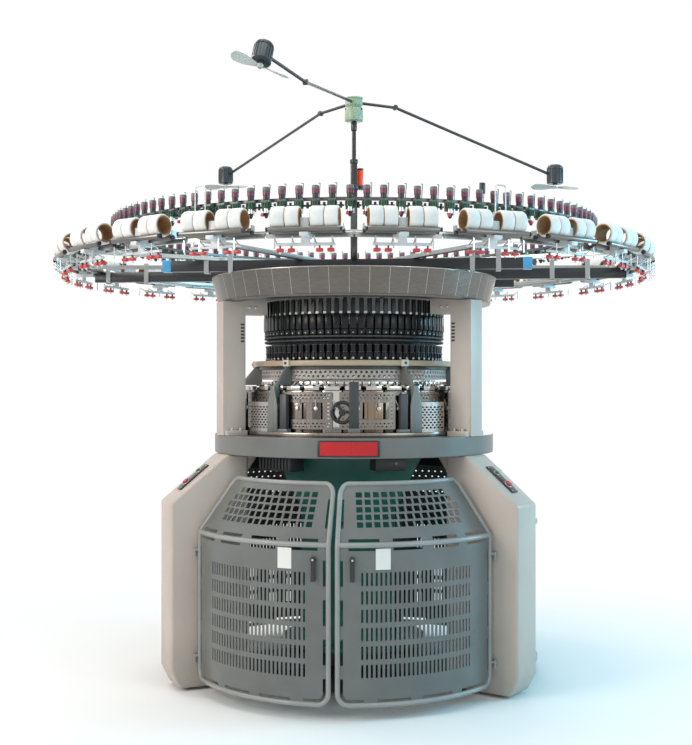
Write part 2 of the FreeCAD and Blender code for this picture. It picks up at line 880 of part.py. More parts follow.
# ------------------------------------------------------------------ creel
def beam(half_length, y):
    """Square tube across the creel with two round posts down to the top ring."""
    middle = (top_ring_bore + crown_foot_radius) / 2
    line = y + beam_thickness / 2
    reach = math.sqrt(middle ** 2 - line ** 2)
    tube = block((-half_length, half_length), (y, y + beam_thickness), (beam_bottom, beam_top))
    height = beam_bottom - top_ring_top
    posts = [Part.makeCylinder(post_radius, height, Vector(side * reach, line, top_ring_top))
             for side in (-1, 1)]
    return fused([tube] + posts)


def beam_end_blocks():
    """Coloured end blocks on the front beam."""
    blocks = []
    depth = (front_beam_y - end_block_margin, front_beam_y + beam_thickness + end_block_margin)
    heights = (beam_bottom - end_block_margin, beam_top + end_block_margin)
    for side in (-1, 1):
        start = side * front_beam_half
        ends = sorted((start, start + side * end_block))
        blocks.append(block(ends, depth, heights))
    return blocks


def creel_wheel():
    """Flat radial spokes on the beams, welded to a hub plate and to a rail of straight lengths."""
    hub = Part.makeCylinder(spoke_hub, spoke_thickness, Vector(0, 0, beam_top))
    spokes = [block((0, rail_radius - rail_width / 2), (-spoke_width / 2, spoke_width / 2),
                    (beam_top, spoke_top), bearing)
              for bearing in bearings(spoke_count, creel_turn + 180.0 / unit_count)]
    rail = polygon_ring(rail_radius - rail_width, rail_radius, beam_top, spoke_top, unit_count,
                        creel_turn + 180.0 / unit_count)
    return fused([hub, rail] + spokes)


def unit_block(bearing):
    """White bearing block of a unit: an arm from the rail, a saddle under both rollers, a post
    between the package groups and a stem that carries the sensor bar."""
    half_post = roller_spacing / 2 - roller_corner - running_gap
    outline = [
        (rail_face, beam_top),
        (rail_face, spoke_top),
        (saddle_inner, spoke_top),
        (saddle_inner, saddle_top),
        (package_ring - half_post, saddle_top),
        (package_ring - half_post, package_axis),
        (package_ring + half_post, package_axis),
        (package_ring + half_post, saddle_top),
        (package_ring + saddle_half, saddle_top),
        (package_ring + saddle_half, saddle_bottom),
        (package_ring + bar_size / 2, saddle_bottom),
        (package_ring + bar_size / 2, bar_bottom),
        (package_ring - bar_size / 2, bar_bottom),
        (package_ring - bar_size / 2, saddle_bottom),
        (saddle_inner - saddle_wall, saddle_bottom),
        (saddle_inner - saddle_wall, beam_top),
    ]
    half_bar = package_group_pitch / 2 + sensor_length / 2
    cross_bar = block((package_ring - bar_size / 2, package_ring + bar_size / 2), (-half_bar, half_bar),
                      (bar_bottom, bar_bottom + bar_size))
    shape = fused([side_plate(outline, block_width), cross_bar])
    shape.rotate(ORIGIN, UP, bearing)
    return shape


def ten_sided(middle, radius, turn, start, length):
    """Bar with ten flats along Y about a middle (X, height); the first corner lies at the turn."""
    corners = []
    for corner in range(package_sides):
        angle = math.radians(turn + 360.0 * corner / package_sides)
        across = middle[0] + radius * math.cos(angle)
        corners.append(Vector(across, start, middle[1] + radius * math.sin(angle)))
    return Part.Face(Part.makePolygon(corners + corners[:1])).extrude(Vector(0, length, 0))


def unit_rollers(bearing):
    """The two driven rollers of a unit, drawn with ten flats, one of them under each package."""
    rollers = []
    for offset in (-roller_spacing / 2, roller_spacing / 2):
        middle = (package_ring + offset, roller_axis)
        solid = ten_sided(middle, roller_corner, 0.0, -roller_length / 2, roller_length)
        solid.rotate(ORIGIN, UP, bearing)
        rollers.append(solid)
    return rollers


def package_group(bearing, side):
    """Two packages on one cardboard tube, lying on the rollers, drawn with ten flats."""
    start = side * package_group_pitch / 2 - package_group_length / 2
    solid = ten_sided((package_ring, package_axis), package_radius, -90.0, start, package_group_length)
    solid.rotate(ORIGIN, UP, bearing)
    return solid


def unit_sensors(bearing):
    """Red yarn-break sensors under a unit's bar, one housing to a package group."""
    sensors = []
    for side in (-1, 1):
        middle = side * package_group_pitch / 2
        sensors.append(block((package_ring - sensor_width / 2, package_ring + sensor_width / 2),
                             (middle - sensor_length / 2, middle + sensor_length / 2),
                             (bar_bottom - sensor_drop, bar_bottom), bearing))
    return sensors


# the rollers touch the package along its first corners each side of the lowest one
seat_angle = math.radians(360.0 / package_sides)
seat_reach = package_radius + roller_radius + running_gap
roller_corner = roller_radius / math.cos(math.pi / package_sides)
roller_spacing = 2 * seat_reach * math.sin(seat_angle)
roller_axis = package_axis - seat_reach * math.cos(seat_angle)
rail_face = rail_radius * math.cos(math.pi / unit_count)
saddle_half = roller_spacing / 2 + roller_corner + running_gap
saddle_inner = package_ring - saddle_half
saddle_top = roller_axis - roller_radius
saddle_bottom = saddle_top - saddle_height
bar_bottom = saddle_bottom - stem_drop
centre_beam_half = saddle_inner - saddle_wall - panel_gap
unit_bearings = bearings(unit_count, FRONT + creel_turn)


# ------------------------------------------------------------------ storage feeder ring
storage_sides = storage_count // storage_side
storage_face = storage_ring - storage_depth / 2
storage_pitch = 2 * storage_face * math.tan(math.pi / storage_sides) / storage_side


def storage_feeders():
    """Feeders side by side on the outer faces of the rail's straight lengths."""
    feeders = []
    for bearing in bearings(storage_sides, FRONT + creel_turn):
        for place in range(storage_side):
            middle = (place - (storage_side - 1) / 2) * storage_pitch
            feeders.append(block((storage_face, storage_face + storage_depth),
                                 (middle - storage_width / 2, middle + storage_width / 2),
                                 (storage_bottom, storage_top), bearing))
    return feeders


def storage_rail():
    """Rail of straight lengths on twelve struts, which stand on the spokes."""
    corner = storage_face / math.cos(math.pi / storage_sides)
    rail_top = storage_rail_z + storage_rail_height
    rail = polygon_ring(corner - storage_rail_width, corner, storage_rail_z, rail_top,
                        storage_sides, FRONT + creel_turn + 180.0 / storage_sides)
    middle = storage_face - storage_rail_width / 2
    struts = [block((middle - strut_size / 2, middle + strut_size / 2), (-strut_size / 2, strut_size / 2),
                    (spoke_top, storage_rail_z), bearing)
              for bearing in bearings(spoke_count, creel_turn + 180.0 / unit_count)]
    return fused([rail] + struts)


# ------------------------------------------------------------------ mast and fan
def mast():
    """Stepped post on the spoke hub, with a spigot for the fan hub."""
    foot = Part.makeCylinder(mast_flange, mast_flange_height, Vector(0, 0, spoke_top))
    lower = Part.makeCylinder(mast_radius, mast_step - spoke_top, Vector(0, 0, spoke_top))
    upper_length = hub_bottom + spigot_length - mast_step
    upper = Part.makeCylinder(mast_top_radius, upper_length, Vector(0, 0, mast_step))
    return fused([foot, lower, upper])


def fan_hub():
    """Painted gear housing that turns on the mast's spigot."""
    profile = [
        (0, hub_bottom + running_gap),
        (hub_radius * 0.8, hub_bottom + running_gap),
        (hub_radius * 0.8, hub_bottom + hub_height * 0.6),
        (hub_radius, hub_bottom + hub_height * 0.7),
        (hub_radius, hub_bottom + hub_height),
        (0, hub_bottom + hub_height),
    ]
    bore = Part.makeCylinder(mast_top_radius + fit_gap, spigot_length + running_gap, Vector(0, 0, hub_bottom))
    return turned(profile).cut(bore)


def fan_bearing(place):
    return FRONT + fan_turn + place


def fan_arm(place, elbow, motor):
    """Rod from the hub to the elbow and on to the motor's side."""
    bearing = fan_bearing(place)
    start = Vector(hub_radius - arm_seat, 0, hub_bottom + hub_height * arm_level)
    elbow_point = Vector(elbow[0], 0, hub_bottom + elbow[1])
    motor_point = Vector(motor[0] - fan_motor_radius + arm_seat, 0, storage_top + motor[1])
    knee_start = elbow_point - Vector(0, knee_width / 2, 0)
    knee = Part.makeCylinder(knee_radius, knee_width, knee_start, Vector(0, 1, 0))
    shape = fused([rod(start, elbow_point, arm_radius), rod(elbow_point, motor_point, arm_radius), knee])
    shape.rotate(ORIGIN, UP, bearing)
    return shape


def at_motor(shape, place, motor, tilt):
    """Put a shape drawn about the motor's own axis, with the shaft end down, at its place."""
    placed = shape.copy()
    placed.rotate(ORIGIN, Vector(0, 1, 0), -tilt)
    placed.translate(Vector(motor[0], 0, storage_top + motor[1]))
    placed.rotate(ORIGIN, UP, fan_bearing(place))
    return placed


def fan_motor():
    """Motor housing with a domed back and its shaft pointing down."""
    half = fan_motor_height / 2
    profile = [
        (0, -half),
        (fan_motor_radius, -half),
        (fan_motor_radius, half - fan_dome),
        (fan_motor_radius * 0.7, half),
        (0, half),
    ]
    shaft = Part.makeCylinder(fan_shaft_radius, fan_shaft_length, Vector(0, 0, -half - fan_shaft_length))
    return turned(profile).fuse(shaft).removeSplitter()


def fan_blade():
    """Two-bladed propeller on a bored hub, its blades pitched and rounded at the tips."""
    half = fan_motor_height / 2
    top = -half - blade_drop
    hub = Part.makeCylinder(blade_hub_radius, blade_hub_height, Vector(0, 0, top - blade_hub_height))
    pieces = [hub]
    for side in (0, 180):
        outline = [(blade_hub_radius * 0.6, -blade_root_width / 2), (blade_length * 0.45, -blade_width / 2),
                   (blade_length * 0.9, -blade_width / 2), (blade_length, -blade_width / 5),
                   (blade_length, blade_width / 5), (blade_length * 0.9, blade_width / 2),
                   (blade_length * 0.45, blade_width / 2), (blade_hub_radius * 0.6, blade_root_width / 2)]
        points = [Vector(x, y, -blade_thickness / 2) for x, y in outline]
        wing = Part.Face(Part.makePolygon(points + points[:1])).extrude(Vector(0, 0, blade_thickness))
        wing.rotate(ORIGIN, Vector(1, 0, 0), blade_pitch)
        wing.translate(Vector(0, 0, top - blade_hub_height / 2))
        wing.rotate(ORIGIN, UP, side)
        pieces.append(wing)
    bore = Part.makeCylinder(fan_shaft_radius + fit_gap, 2 * blade_hub_height,
                             Vector(0, 0, top - 1.5 * blade_hub_height))
    return fused(pieces).cut(bore)


def warning_lamp():
    """Beacon on a clamp round the mast."""
    beside = mast_radius + lamp_radius + lamp_flare + lamp_gap
    lamp_bottom = mast_step - lamp_drop
    foot = lamp_bottom - lamp_base
    lens = Part.makeCylinder(lamp_radius, lamp_height, Vector(beside, 0, lamp_bottom))
    base = Part.makeCylinder(lamp_radius + lamp_flare, lamp_base, Vector(beside, 0, foot))
    collar = Part.makeCylinder(mast_radius + lamp_collar, lamp_base, Vector(0, 0, foot))
    lamp = fused([lens, base, collar]).cut(Part.makeCylinder(mast_radius, lamp_base, Vector(0, 0, foot)))
    lamp.rotate(ORIGIN, UP, lamp_bearing)
    return lamp


# ------------------------------------------------------------------ write the nodes
os.makedirs("parts", exist_ok=True)

save("base_cross", base_cross())
save("levelling_feet", *levelling_feet())
save("bed_ring", bed_ring())
save("front_plate", front_plate())
save("leg_left", leg(leg_bearings["left"]))
save("leg_right", leg(leg_bearings["right"]))
save("leg_rear", fused([leg(leg_bearings["rear"]), motor_shelf()]))
save("columns", *[piece for bearing in leg_bearings.values() for piece in column(bearing)])
for side in ("left", "right"):
    bearing = leg_bearings[side]
    save("control_panel_" + side, control_panel(bearing))
    for name, along in button_places.items():
        radius = stop_radius if name == "stop_button" else button_radius
        save(name + "_" + side, push_button(bearing, along, radius))

save("top_ring", top_ring())
save("crown_cover", crown_cover())
save("cam_plate", ring(cylinder_outer + cylinder_clearance, cam_plate_outer, bed_top, cam_bottom))
save("cam_boxes", *[cam_box(bearing) for bearing in bearings(cam_count, 180.0 / cam_count)])
save("ring_fins", *[ring_fin(bearing) for bearing in fin_bearings])
save("mesh_guards", *[mesh_guard(FRONT + third + side * guard_spread)
                      for third in (0, 120, 240) for side in (-1, 1)])
save("guide_ring", guide_ring())
save("support_ring", ring(support_inner, support_outer, support_bottom, support_bottom + support_height))
save("adjusting_knob", knob())
save("positive_feeders", *[feeder(bearing) for bearing in bearings(feeder_count)])
save("feeder_ring", ring(feeder_ring_inner, feeder_ring_outer, feeder_top, bracket_bottom))

frame = hinged(gate_frame())
lower = lower_panel(slot_columns, slot_width).cut(frame)
upper = upper_panel(square_rows, square_columns).cut(frame)
pull = handle()
leg_half = Part.makeCompound([knuckle(height - knuckle_length / 2, False) for height in hinge_heights])
for side in ("left", "right"):
    place = to_left if side == "left" else (lambda shape: shape)
    save("gate_frame_" + side, place(frame))
    save("gate_panel_" + side, place(lower))
    save("gate_hood_" + side, place(upper))
    save("gate_handle_" + side, place(pull))
save("gate_hinges", *[place(leg_half) for place in (to_left, lambda shape: shape)])
for side in ("left", "right"):
    save("rear_guard_" + side, *rear_guard(leg_bearings[side] + 180.0))

save("needle_cylinder", cylinder_gear())
save("take_down_frame", take_down_frame())
save("nip_roller_front", roller(-nip_radius - running_gap, nip_height, nip_radius))
save("nip_roller_back", roller(nip_radius + running_gap, nip_height, nip_radius))
save("batch_roller", roller(0.0, batch_height, batch_radius))
save("drive_shaft", drive_shaft())
save("drive_motor", drive_motor())

save("creel_beams", beam(front_beam_half, front_beam_y), beam(centre_beam_half, centre_beam_y),
     beam(rear_beam_half, rear_beam_y))
save("beam_end_blocks", *beam_end_blocks())
save("creel_wheel", creel_wheel())
save("unit_blocks", *[unit_block(bearing) for bearing in unit_bearings])
save("unit_rollers", *[bar_shape for bearing in unit_bearings for bar_shape in unit_rollers(bearing)])
save("yarn_packages", *[package_group(bearing, side) for bearing in unit_bearings for side in (-1, 1)])
save("yarn_sensors", *[sensor for bearing in unit_bearings for sensor in unit_sensors(bearing)])
save("storage_rail", storage_rail())
save("storage_feeders", *storage_feeders())

save("mast", mast())
save("warning_lamp", warning_lamp())
arms = [fan_arm(place, elbow, motor) for name, place, elbow, motor, tilt in fan_arms]
motor_shape = fan_motor()
blade_shape = fan_blade()
motors = []
for (name, place, elbow, motor, tilt), arm in zip(fan_arms, arms):
    motors.append(at_motor(motor_shape, place, motor, tilt).cut(arm))
    blade = blade_shape.copy()
    blade.rotate(ORIGIN, UP, blade_turns[name])
    save("fan_blade_" + name, at_motor(blade, place, motor, tilt))
save("fan_arms", *arms)
save("fan_motors", *motors)
save("fan_hub", fan_hub().cut(Part.makeCompound(arms)))
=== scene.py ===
"""Large-diameter circular knitting machine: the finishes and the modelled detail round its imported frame.

Metres, +Z up, the needle cylinder's axis at the origin, gates towards -Y. A piece that stands round the
axis is drawn on the +X side, X outwards and Y along the ring, and is then turned to its bearing. The front
of the machine is at bearing -90.
"""
import bpy
from math import atan, atan2, ceil, cos, pi, radians, sin, sqrt, tan, tau
from mathutils import Matrix, Vector


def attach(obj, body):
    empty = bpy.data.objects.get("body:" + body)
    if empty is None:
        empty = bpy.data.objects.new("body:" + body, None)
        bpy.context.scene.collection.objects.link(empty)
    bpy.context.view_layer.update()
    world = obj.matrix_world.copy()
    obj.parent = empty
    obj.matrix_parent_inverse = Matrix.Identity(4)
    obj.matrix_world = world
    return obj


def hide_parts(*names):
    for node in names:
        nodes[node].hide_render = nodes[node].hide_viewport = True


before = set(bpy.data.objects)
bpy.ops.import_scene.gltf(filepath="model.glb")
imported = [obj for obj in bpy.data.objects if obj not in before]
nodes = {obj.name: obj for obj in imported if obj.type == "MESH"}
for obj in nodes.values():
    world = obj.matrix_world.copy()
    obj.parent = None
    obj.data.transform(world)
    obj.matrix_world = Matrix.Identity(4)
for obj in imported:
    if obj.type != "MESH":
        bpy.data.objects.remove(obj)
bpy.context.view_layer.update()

# ------------------------------------------------------------------ camera
# The photograph was taken from a little to the right of the gap between the gates, from about eye
# height and some six metres away, with the camera level.
photo_width, photo_height = 692, 745
focal_pixels = 1150.0
eye_distance, eye_height = 6.25, 1.53
eye_bearing = radians(5.5)
axis_column, horizon_row = 354.0, 386.0

bpy.ops.object.select_all(action="DESELECT")
bpy.ops.object.camera_add(
    location=(eye_distance * sin(eye_bearing), -eye_distance * cos(eye_bearing), eye_height),
    rotation=(radians(90), 0, eye_bearing))
camera = bpy.context.object
camera.data.sensor_width = 36.0
camera.data.lens = focal_pixels / photo_height * camera.data.sensor_width
camera.data.shift_x = -(axis_column - photo_width / 2) / photo_height
camera.data.shift_y = (horizon_row - photo_height / 2) / photo_height
camera.data.clip_end = 60.0
bpy.context.scene.camera = camera

# ------------------------------------------------------------------ floor, world and lamps
# The photograph is cut out on white, so a pale studio floor, with a shadow painted under the machine,
# fades into a white world. The lamps are large and soft: warm from the left, cool and cyan from the right,
# plain from above.
bpy.context.scene.view_settings.view_transform = "Standard"


class Wire:
    """A shader socket that can be written into sums and products."""

    def __init__(self, finish, socket):
        self.finish = finish
        self.socket = socket

    def maths(self, operation, other):
        return self.finish.node("ShaderNodeMath", {"operation": operation}, {0: self, 1: other})

    def __add__(self, other):
        return self.maths("ADD", other)

    def __mul__(self, other):
        return self.maths("MULTIPLY", other)

    def __gt__(self, other):
        return self.maths("GREATER_THAN", other)

    def __mod__(self, other):
        return self.maths("FLOORED_MODULO", other)


class Finish:
    """A node material. Every node comes from node(), which sets its settings first and then its sockets."""

    def __init__(self, name, tree=None):
        if tree is None:
            self.material = bpy.data.materials.new(name)
            self.material.use_nodes = True
            tree = self.material.node_tree
            self.surface = tree.nodes["Principled BSDF"]
        self.tree = tree

    def node(self, kind, settings=None, sockets=None, output=0):
        made = self.tree.nodes.new(kind)
        for key, value in (settings or {}).items():
            setattr(made, key, value)
        for key, value in (sockets or {}).items():
            self.feed(made.inputs[key], value)
        return Wire(self, made.outputs[output])

    def feed(self, socket, value):
        if isinstance(value, Wire):
            self.tree.links.new(value.socket, socket)
        elif isinstance(value, tuple) and len(value) == 3 and socket.type == "RGBA":
            socket.default_value = (*value, 1.0)
        else:
            socket.default_value = value

    def set(self, **sockets):
        """Feed the surface's own sockets: base_color for Base Color, and so on."""
        for key, value in sockets.items():
            self.feed(self.surface.inputs[key.replace("_", " ").title()], value)
        return self

    def noise(self, scale, detail=3.0, stretch=(1, 1, 1), roughness=0.5):
        """Noise on Object coordinates."""
        seat = self.node("ShaderNodeTexCoord", output="Object")
        place = self.node("ShaderNodeMapping", None, {"Vector": seat, "Scale": stretch})
        return self.node("ShaderNodeTexNoise", None,
                         {"Vector": place, "Scale": scale, "Detail": detail, "Roughness": roughness})

    def ramp(self, mask, *stops):
        made = self.node("ShaderNodeValToRGB", None, {"Fac": mask})
        row = made.socket.node.color_ramp.elements
        row.remove(row[-1])
        for number, (place, colour) in enumerate(stops):
            stop = row[0] if number == 0 else row.new(place)
            stop.position = place
            stop.color = (*colour, 1.0)
        return made

    def cloudy(self, scale, detail, colour, low, high):
        """A colour that drifts between two shares of itself."""
        return self.ramp(self.noise(scale, detail), (0.3, paler(colour, low)), (0.7, paler(colour, high)))

    def mix(self, mask, first, second):
        colours = {"Factor": mask, 6: first, 7: second}
        return self.node("ShaderNodeMix", {"data_type": "RGBA"}, colours, output=2)

    def bump(self, height, strength=0.3, distance=0.001):
        return self.node("ShaderNodeBump", None,
                         {"Height": height, "Strength": strength, "Distance": distance})

    def split(self, vector):
        """The x, y and z of a vector, each on its own wire."""
        parts = self.node("ShaderNodeSeparateXYZ", None, {0: vector}).socket.node.outputs
        return [Wire(self, socket) for socket in parts]

    def seen(self):
        """One where the camera looks: straight, in metal or through glass."""
        path = self.node("ShaderNodeLightPath").socket.node
        straight, mirrored, through = [Wire(self, path.outputs["Is " + kind + " Ray"])
                                       for kind in ("Camera", "Glossy", "Transmission")]
        return straight + mirrored + through


def paler(colour, share):
    return tuple(min(1.0, channel * share) for channel in colour)


floor_size = 60.0
floor_colour, painted_shadow_colour = (0.90, 0.90, 0.90), (0.025, 0.027, 0.028)
painted_shadow_end, pale_start = 0.50, 0.80
fade_start, fade_end = 1.3, 3.2
white = {"Color": (1, 1, 1), "Strength": 1.0}

bpy.ops.mesh.primitive_plane_add(size=floor_size, location=(0, 0, 0))
floor = bpy.context.object
floor.name = "studio_floor"
finish = Finish("studio_floor")
seat = finish.node("ShaderNodeTexCoord", output="Object")
reach = finish.node("ShaderNodeVectorMath", {"operation": "LENGTH"}, {0: seat}, output="Value")
# Painted shadow: the floor's colour is near black under the machine and turns pale grey beyond it.
shade = finish.ramp(reach, (painted_shadow_end, painted_shadow_colour), (pale_start, floor_colour))
finish.set(base_color=shade, roughness=0.9)
seen = finish.seen()
fade = finish.node("ShaderNodeMapRange", None, {"Value": reach, "From Min": fade_start, "From Max": fade_end})
glow = finish.node("ShaderNodeEmission", None, white)
surface = Wire(finish, finish.surface.outputs[0])
blend = finish.node("ShaderNodeMixShader", None, {0: fade * seen, 1: surface, 2: glow})
finish.feed(finish.tree.nodes["Material Output"].inputs["Surface"], blend)
floor.data.materials.append(finish.material)

warm_tint, cool_tint = (1.0, 0.94, 0.88), (0.58, 0.89, 1.0)
world_light = 0.52
world = bpy.data.worlds.new("studio")
bpy.context.scene.world = world
world.use_nodes = True
sky = Finish("studio", world.node_tree)
seen = sky.seen()
shown = sky.node("ShaderNodeBackground", None, white)
across = sky.split(sky.node("ShaderNodeTexCoord", output="Generated"))[0]
side = sky.node("ShaderNodeMapRange", None, {"Value": across, "From Min": -1.0, "From Max": 1.0})
tint = sky.ramp(side, (0.25, warm_tint), (0.75, cool_tint))
ambient = sky.node("ShaderNodeBackground", None, {"Color": tint, "Strength": world_light})
both = sky.node("ShaderNodeMixShader", None, {0: seen, 1: ambient, 2: shown})
sky.feed(sky.tree.nodes["World Output"].inputs["Surface"], both)

# Each lamp is a square: its place, the point it is aimed at, its size, its power and its colour.
for name, place, aim, size, power, colour in (
        ("warm_left", (-5.0, -4.4, 3.6), (0, 0, 1.2), 3.0, 210.0, (1.0, 0.94, 0.87)),
        ("cool_right", (4.6, -4.4, 3.0), (0, 0, 1.1), 3.0, 65.0, (0.72, 0.93, 1.0)),
        ("overhead", (0.0, -1.0, 6.5), (0, 0, 1.0), 4.0, 120.0, (1.0, 1.0, 1.0)),
        ("cyan_side", (5.6, 0.4, 2.6), (0.9, -0.4, 1.1), 2.0, 170.0, (0.24, 0.74, 1.0)),
        ("left_top", (-3.1, 0.8, 4.9), (-0.45, -0.6, 1.0), 1.6, 60.0, (1.0, 0.96, 0.92)),
        ("rear", (0.5, 5.5, 3.5), (0, 0, 1.2), 3.0, 90.0, (1.0, 1.0, 1.0))):
    bpy.ops.object.light_add(type="AREA", location=place)
    lamp = bpy.context.object
    lamp.name = name
    lamp.data.size = size
    lamp.data.energy = power
    lamp.data.color = colour
    lamp.rotation_euler = (Vector(aim) - Vector(place)).to_track_quat("-Z", "Y").to_euler()

# ------------------------------------------------------------------ floor cross, feet and legs
# Three hollow iron castings stand on turned pads round a three-armed floor casting. Their long edges are
# rounded, they are filled and sprayed cream, and the cream turns patchily darker towards the floor.
leg_cream, darker_low_colour = (0.515, 0.440, 0.388), (0.33, 0.30, 0.26)
leg_edge = 0.013
darkening_top, darkening_full = 0.28, 0.02
iron_grey, pad_black = (0.11, 0.115, 0.115), (0.05, 0.05, 0.052)
foot_pads = [("left", -150.0), ("right", -30.0), ("rear", 90.0)]
merge_gap = 0.00001
whole = {"threshold": merge_gap}


def pick(*pieces):
    """Select these pieces and nothing else."""
    bpy.ops.object.select_all(action="DESELECT")
    for piece in pieces:
        piece.select_set(True)
    bpy.context.view_layer.objects.active = pieces[0]


def smooth(piece, degrees=30):
    pick(piece)
    bpy.ops.object.shade_smooth_by_angle(angle=radians(degrees))
    return piece


def edited(piece, *steps):
    """Run mesh operators with their settings in edit mode, each on the whole piece."""
    pick(piece)
    bpy.ops.object.mode_set(mode="EDIT")
    for operator, settings in steps:
        bpy.ops.mesh.select_all(action="SELECT")
        operator(**settings)
    bpy.ops.object.mode_set(mode="OBJECT")
    return piece


def modified(piece, kind, **settings):
    """Apply a modifier with these settings."""
    pick(piece)
    modifier = piece.modifiers.new(kind, kind)
    for key, value in settings.items():
        setattr(modifier, key, value)
    bpy.ops.object.modifier_apply(modifier=modifier.name)
    return piece


def rounded(piece, width, segments=2, degrees=35):
    """Round the piece's sharp edges."""
    modified(piece, "BEVEL", width=width, segments=segments, limit_method="ANGLE",
             angle_limit=radians(degrees))
    return smooth(piece, degrees)


def new_piece(name, mesh):
    made = bpy.data.objects.new(name, mesh)
    mesh.name = name
    bpy.context.scene.collection.objects.link(made)
    return made


def meshed(name, points, edges, faces):
    mesh = bpy.data.meshes.new(name)
    mesh.from_pydata(points, edges, faces)
    return new_piece(name, mesh)


def softened(name, node, width, segments=2):
    """A copy of a CAD node's mesh, merged into whole faces and with its edges rounded."""
    piece = edited(new_piece(name, nodes[node].data.copy()), (bpy.ops.mesh.remove_doubles, whole),
                   (bpy.ops.mesh.dissolve_limited, {"angle_limit": radians(0.5)}))
    return rounded(piece, width, segments)


def dress(piece, finish):
    piece.data.materials.clear()
    piece.data.materials.append(finish.material)
    return piece


def fit(piece, body, slot, *replaced):
    """Hand a piece to its body, in place of the CAD nodes it stands for. The slot is not used."""
    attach(piece, body)
    if replaced:
        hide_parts(*replaced)


def recast(name, node, width, finish, slot, segments=2, body="root"):
    """Show a CAD node as it is, with rounded edges and a finish."""
    fit(dress(softened(name, node, width, segments), finish), body, slot, node)


def enamel(name, colour, roughness=0.42, shift=0.12, scuff=0.0):
    """Sprayed machine enamel: cloudy colour, a fine orange-peel surface and, if asked, scuffed patches."""
    made = Finish(name)
    shade = made.cloudy(5.0, 4.0, colour, 1 - shift, 1 + shift * 0.6)
    if scuff:
        worn = made.ramp(made.noise(38.0, 6.0, roughness=0.7), (0.62, (0, 0, 0)), (0.74, (1, 1, 1)))
        shade = made.mix(worn * scuff, shade, paler(colour, 0.55))
    peel = made.noise(220.0, 2.0)
    return made.set(base_color=shade, roughness=made.noise(30.0, 3.0) * 0.14 + (roughness - 0.07),
                    normal=made.bump(peel, 0.12, 0.0006))


def cast_iron(name, colour):
    """Painted casting: sand-rough skin under thin paint, its colour cloudy."""
    made = Finish(name)
    sand = made.noise(90.0, 5.0, roughness=0.7)
    return made.set(base_color=made.cloudy(7.0, 5.0, colour, 0.7, 1.2), roughness=sand * 0.3 + 0.45,
                    metallic=0.2, normal=made.bump(sand, 0.35, 0.001))


leg_finish = enamel("leg_enamel", leg_cream, 0.38, 0.05, scuff=0.12)
# The cream is mixed with a darker colour in noisy patches that grow towards the floor.
height = leg_finish.split(leg_finish.node("ShaderNodeTexCoord", output="Object"))[2]
low = leg_finish.node("ShaderNodeMapRange", None,
                      {"Value": height, "From Min": darkening_top, "From Max": darkening_full})
darkening = leg_finish.noise(22.0, 5.0, roughness=0.65) * low
sprayed = Wire(leg_finish, leg_finish.surface.inputs["Base Color"].links[0].from_socket)
leg_finish.set(base_color=leg_finish.mix(darkening, sprayed, darker_low_colour))
for side, bearing in foot_pads:
    recast("leg_casting_" + side, "leg_" + side, leg_edge, leg_finish, "cream_paint", 4)
recast("floor_cross", "base_cross", 0.008, cast_iron("floor_iron", iron_grey), "cast_iron", 3)
recast("foot_pads", "levelling_feet", 0.003, cast_iron("pad_iron", pad_black), "cast_iron")

# ------------------------------------------------------------------ control panels on the leg slopes
# Each slope carries a black moulded panel with a green start button and a red mushroom stop, both in
# steel collars, and between them a dark window over three small grey keys. Nothing is lettered.
slope_top, slope_foot = Vector((0.758, 0, 1.180)), Vector((1.045, 0, 0.945))
panel_face, panel_seat = 0.008, 0.007
button_along = 0.042
stem_foot, cap_foot, stem_radius = 0.0043, 0.0123, 0.0070


def moulded(name, colour, roughness=0.35, shift=0.10):
    """Injection-moulded plastic: an even colour with a fine sand texture."""
    made = Finish(name)
    sand = made.noise(420.0, 2.0)
    return made.set(base_color=made.cloudy(11.0, 3.0, colour, 1 - shift, 1 + shift),
                    roughness=sand * 0.10 + (roughness - 0.05), normal=made.bump(sand, 0.10, 0.0003))


def bright(name, colour, roughness=0.28, stretch=(1, 1, 1), grain=260.0):
    """Bare machined metal: a fine grain along the tool's path and faint stains."""
    made = Finish(name)
    line = made.noise(grain, 2.0, stretch)
    return made.set(base_color=made.cloudy(9.0, 4.0, colour, 0.88, 1), metallic=1.0,
                    roughness=line * 0.14 + (roughness - 0.07), normal=made.bump(line, 0.10, 0.0004))


def block(name, x, y, z, edge=0.0, segments=2):
    """A block between its limits, with its edges rounded."""
    bpy.ops.object.select_all(action="DESELECT")
    bpy.ops.mesh.primitive_cube_add(size=1, location=(sum(x) / 2, sum(y) / 2, sum(z) / 2))
    piece = bpy.context.object
    piece.name = name
    piece.scale = (x[1] - x[0], y[1] - y[0], z[1] - z[0])
    bpy.ops.object.transform_apply(location=True, rotation=True, scale=True)
    return rounded(piece, edge, segments) if edge else piece


def rod(name, start, end, radius, sides=16, edge=0.0, end_radius=None):
    """A round bar between two points, tapered if asked, with its rims rounded."""
    run = Vector(end) - Vector(start)
    bpy.ops.object.select_all(action="DESELECT")
    bpy.ops.mesh.primitive_cone_add(vertices=sides, radius1=radius,
                                    radius2=radius if end_radius is None else end_radius, depth=run.length)
    piece = bpy.context.object
    piece.name = name
    piece.data.transform(Matrix.Translation((Vector(start) + Vector(end)) / 2)
                         @ run.to_track_quat("Z", "Y").to_matrix().to_4x4())
    return rounded(piece, edge, 2, 50) if edge else smooth(piece, 50)


def bead(name, place, radius, thickness, steps, sides):
    """A round wire bent to a ring."""
    bpy.ops.object.select_all(action="DESELECT")
    bpy.ops.mesh.primitive_torus_add(location=place, major_radius=radius, minor_radius=thickness,
                                     major_segments=steps, minor_segments=sides)
    piece = bpy.context.object
    piece.name = name
    bpy.ops.object.transform_apply(location=True, rotation=True, scale=True)
    return smooth(piece, 80)


def join(name, pieces):
    """One piece of several, which keep their own finishes."""
    pick(*pieces)
    if len(pieces) > 1:
        bpy.ops.object.join()
    pieces[0].name = name
    pieces[0].data.name = name
    return pieces[0]


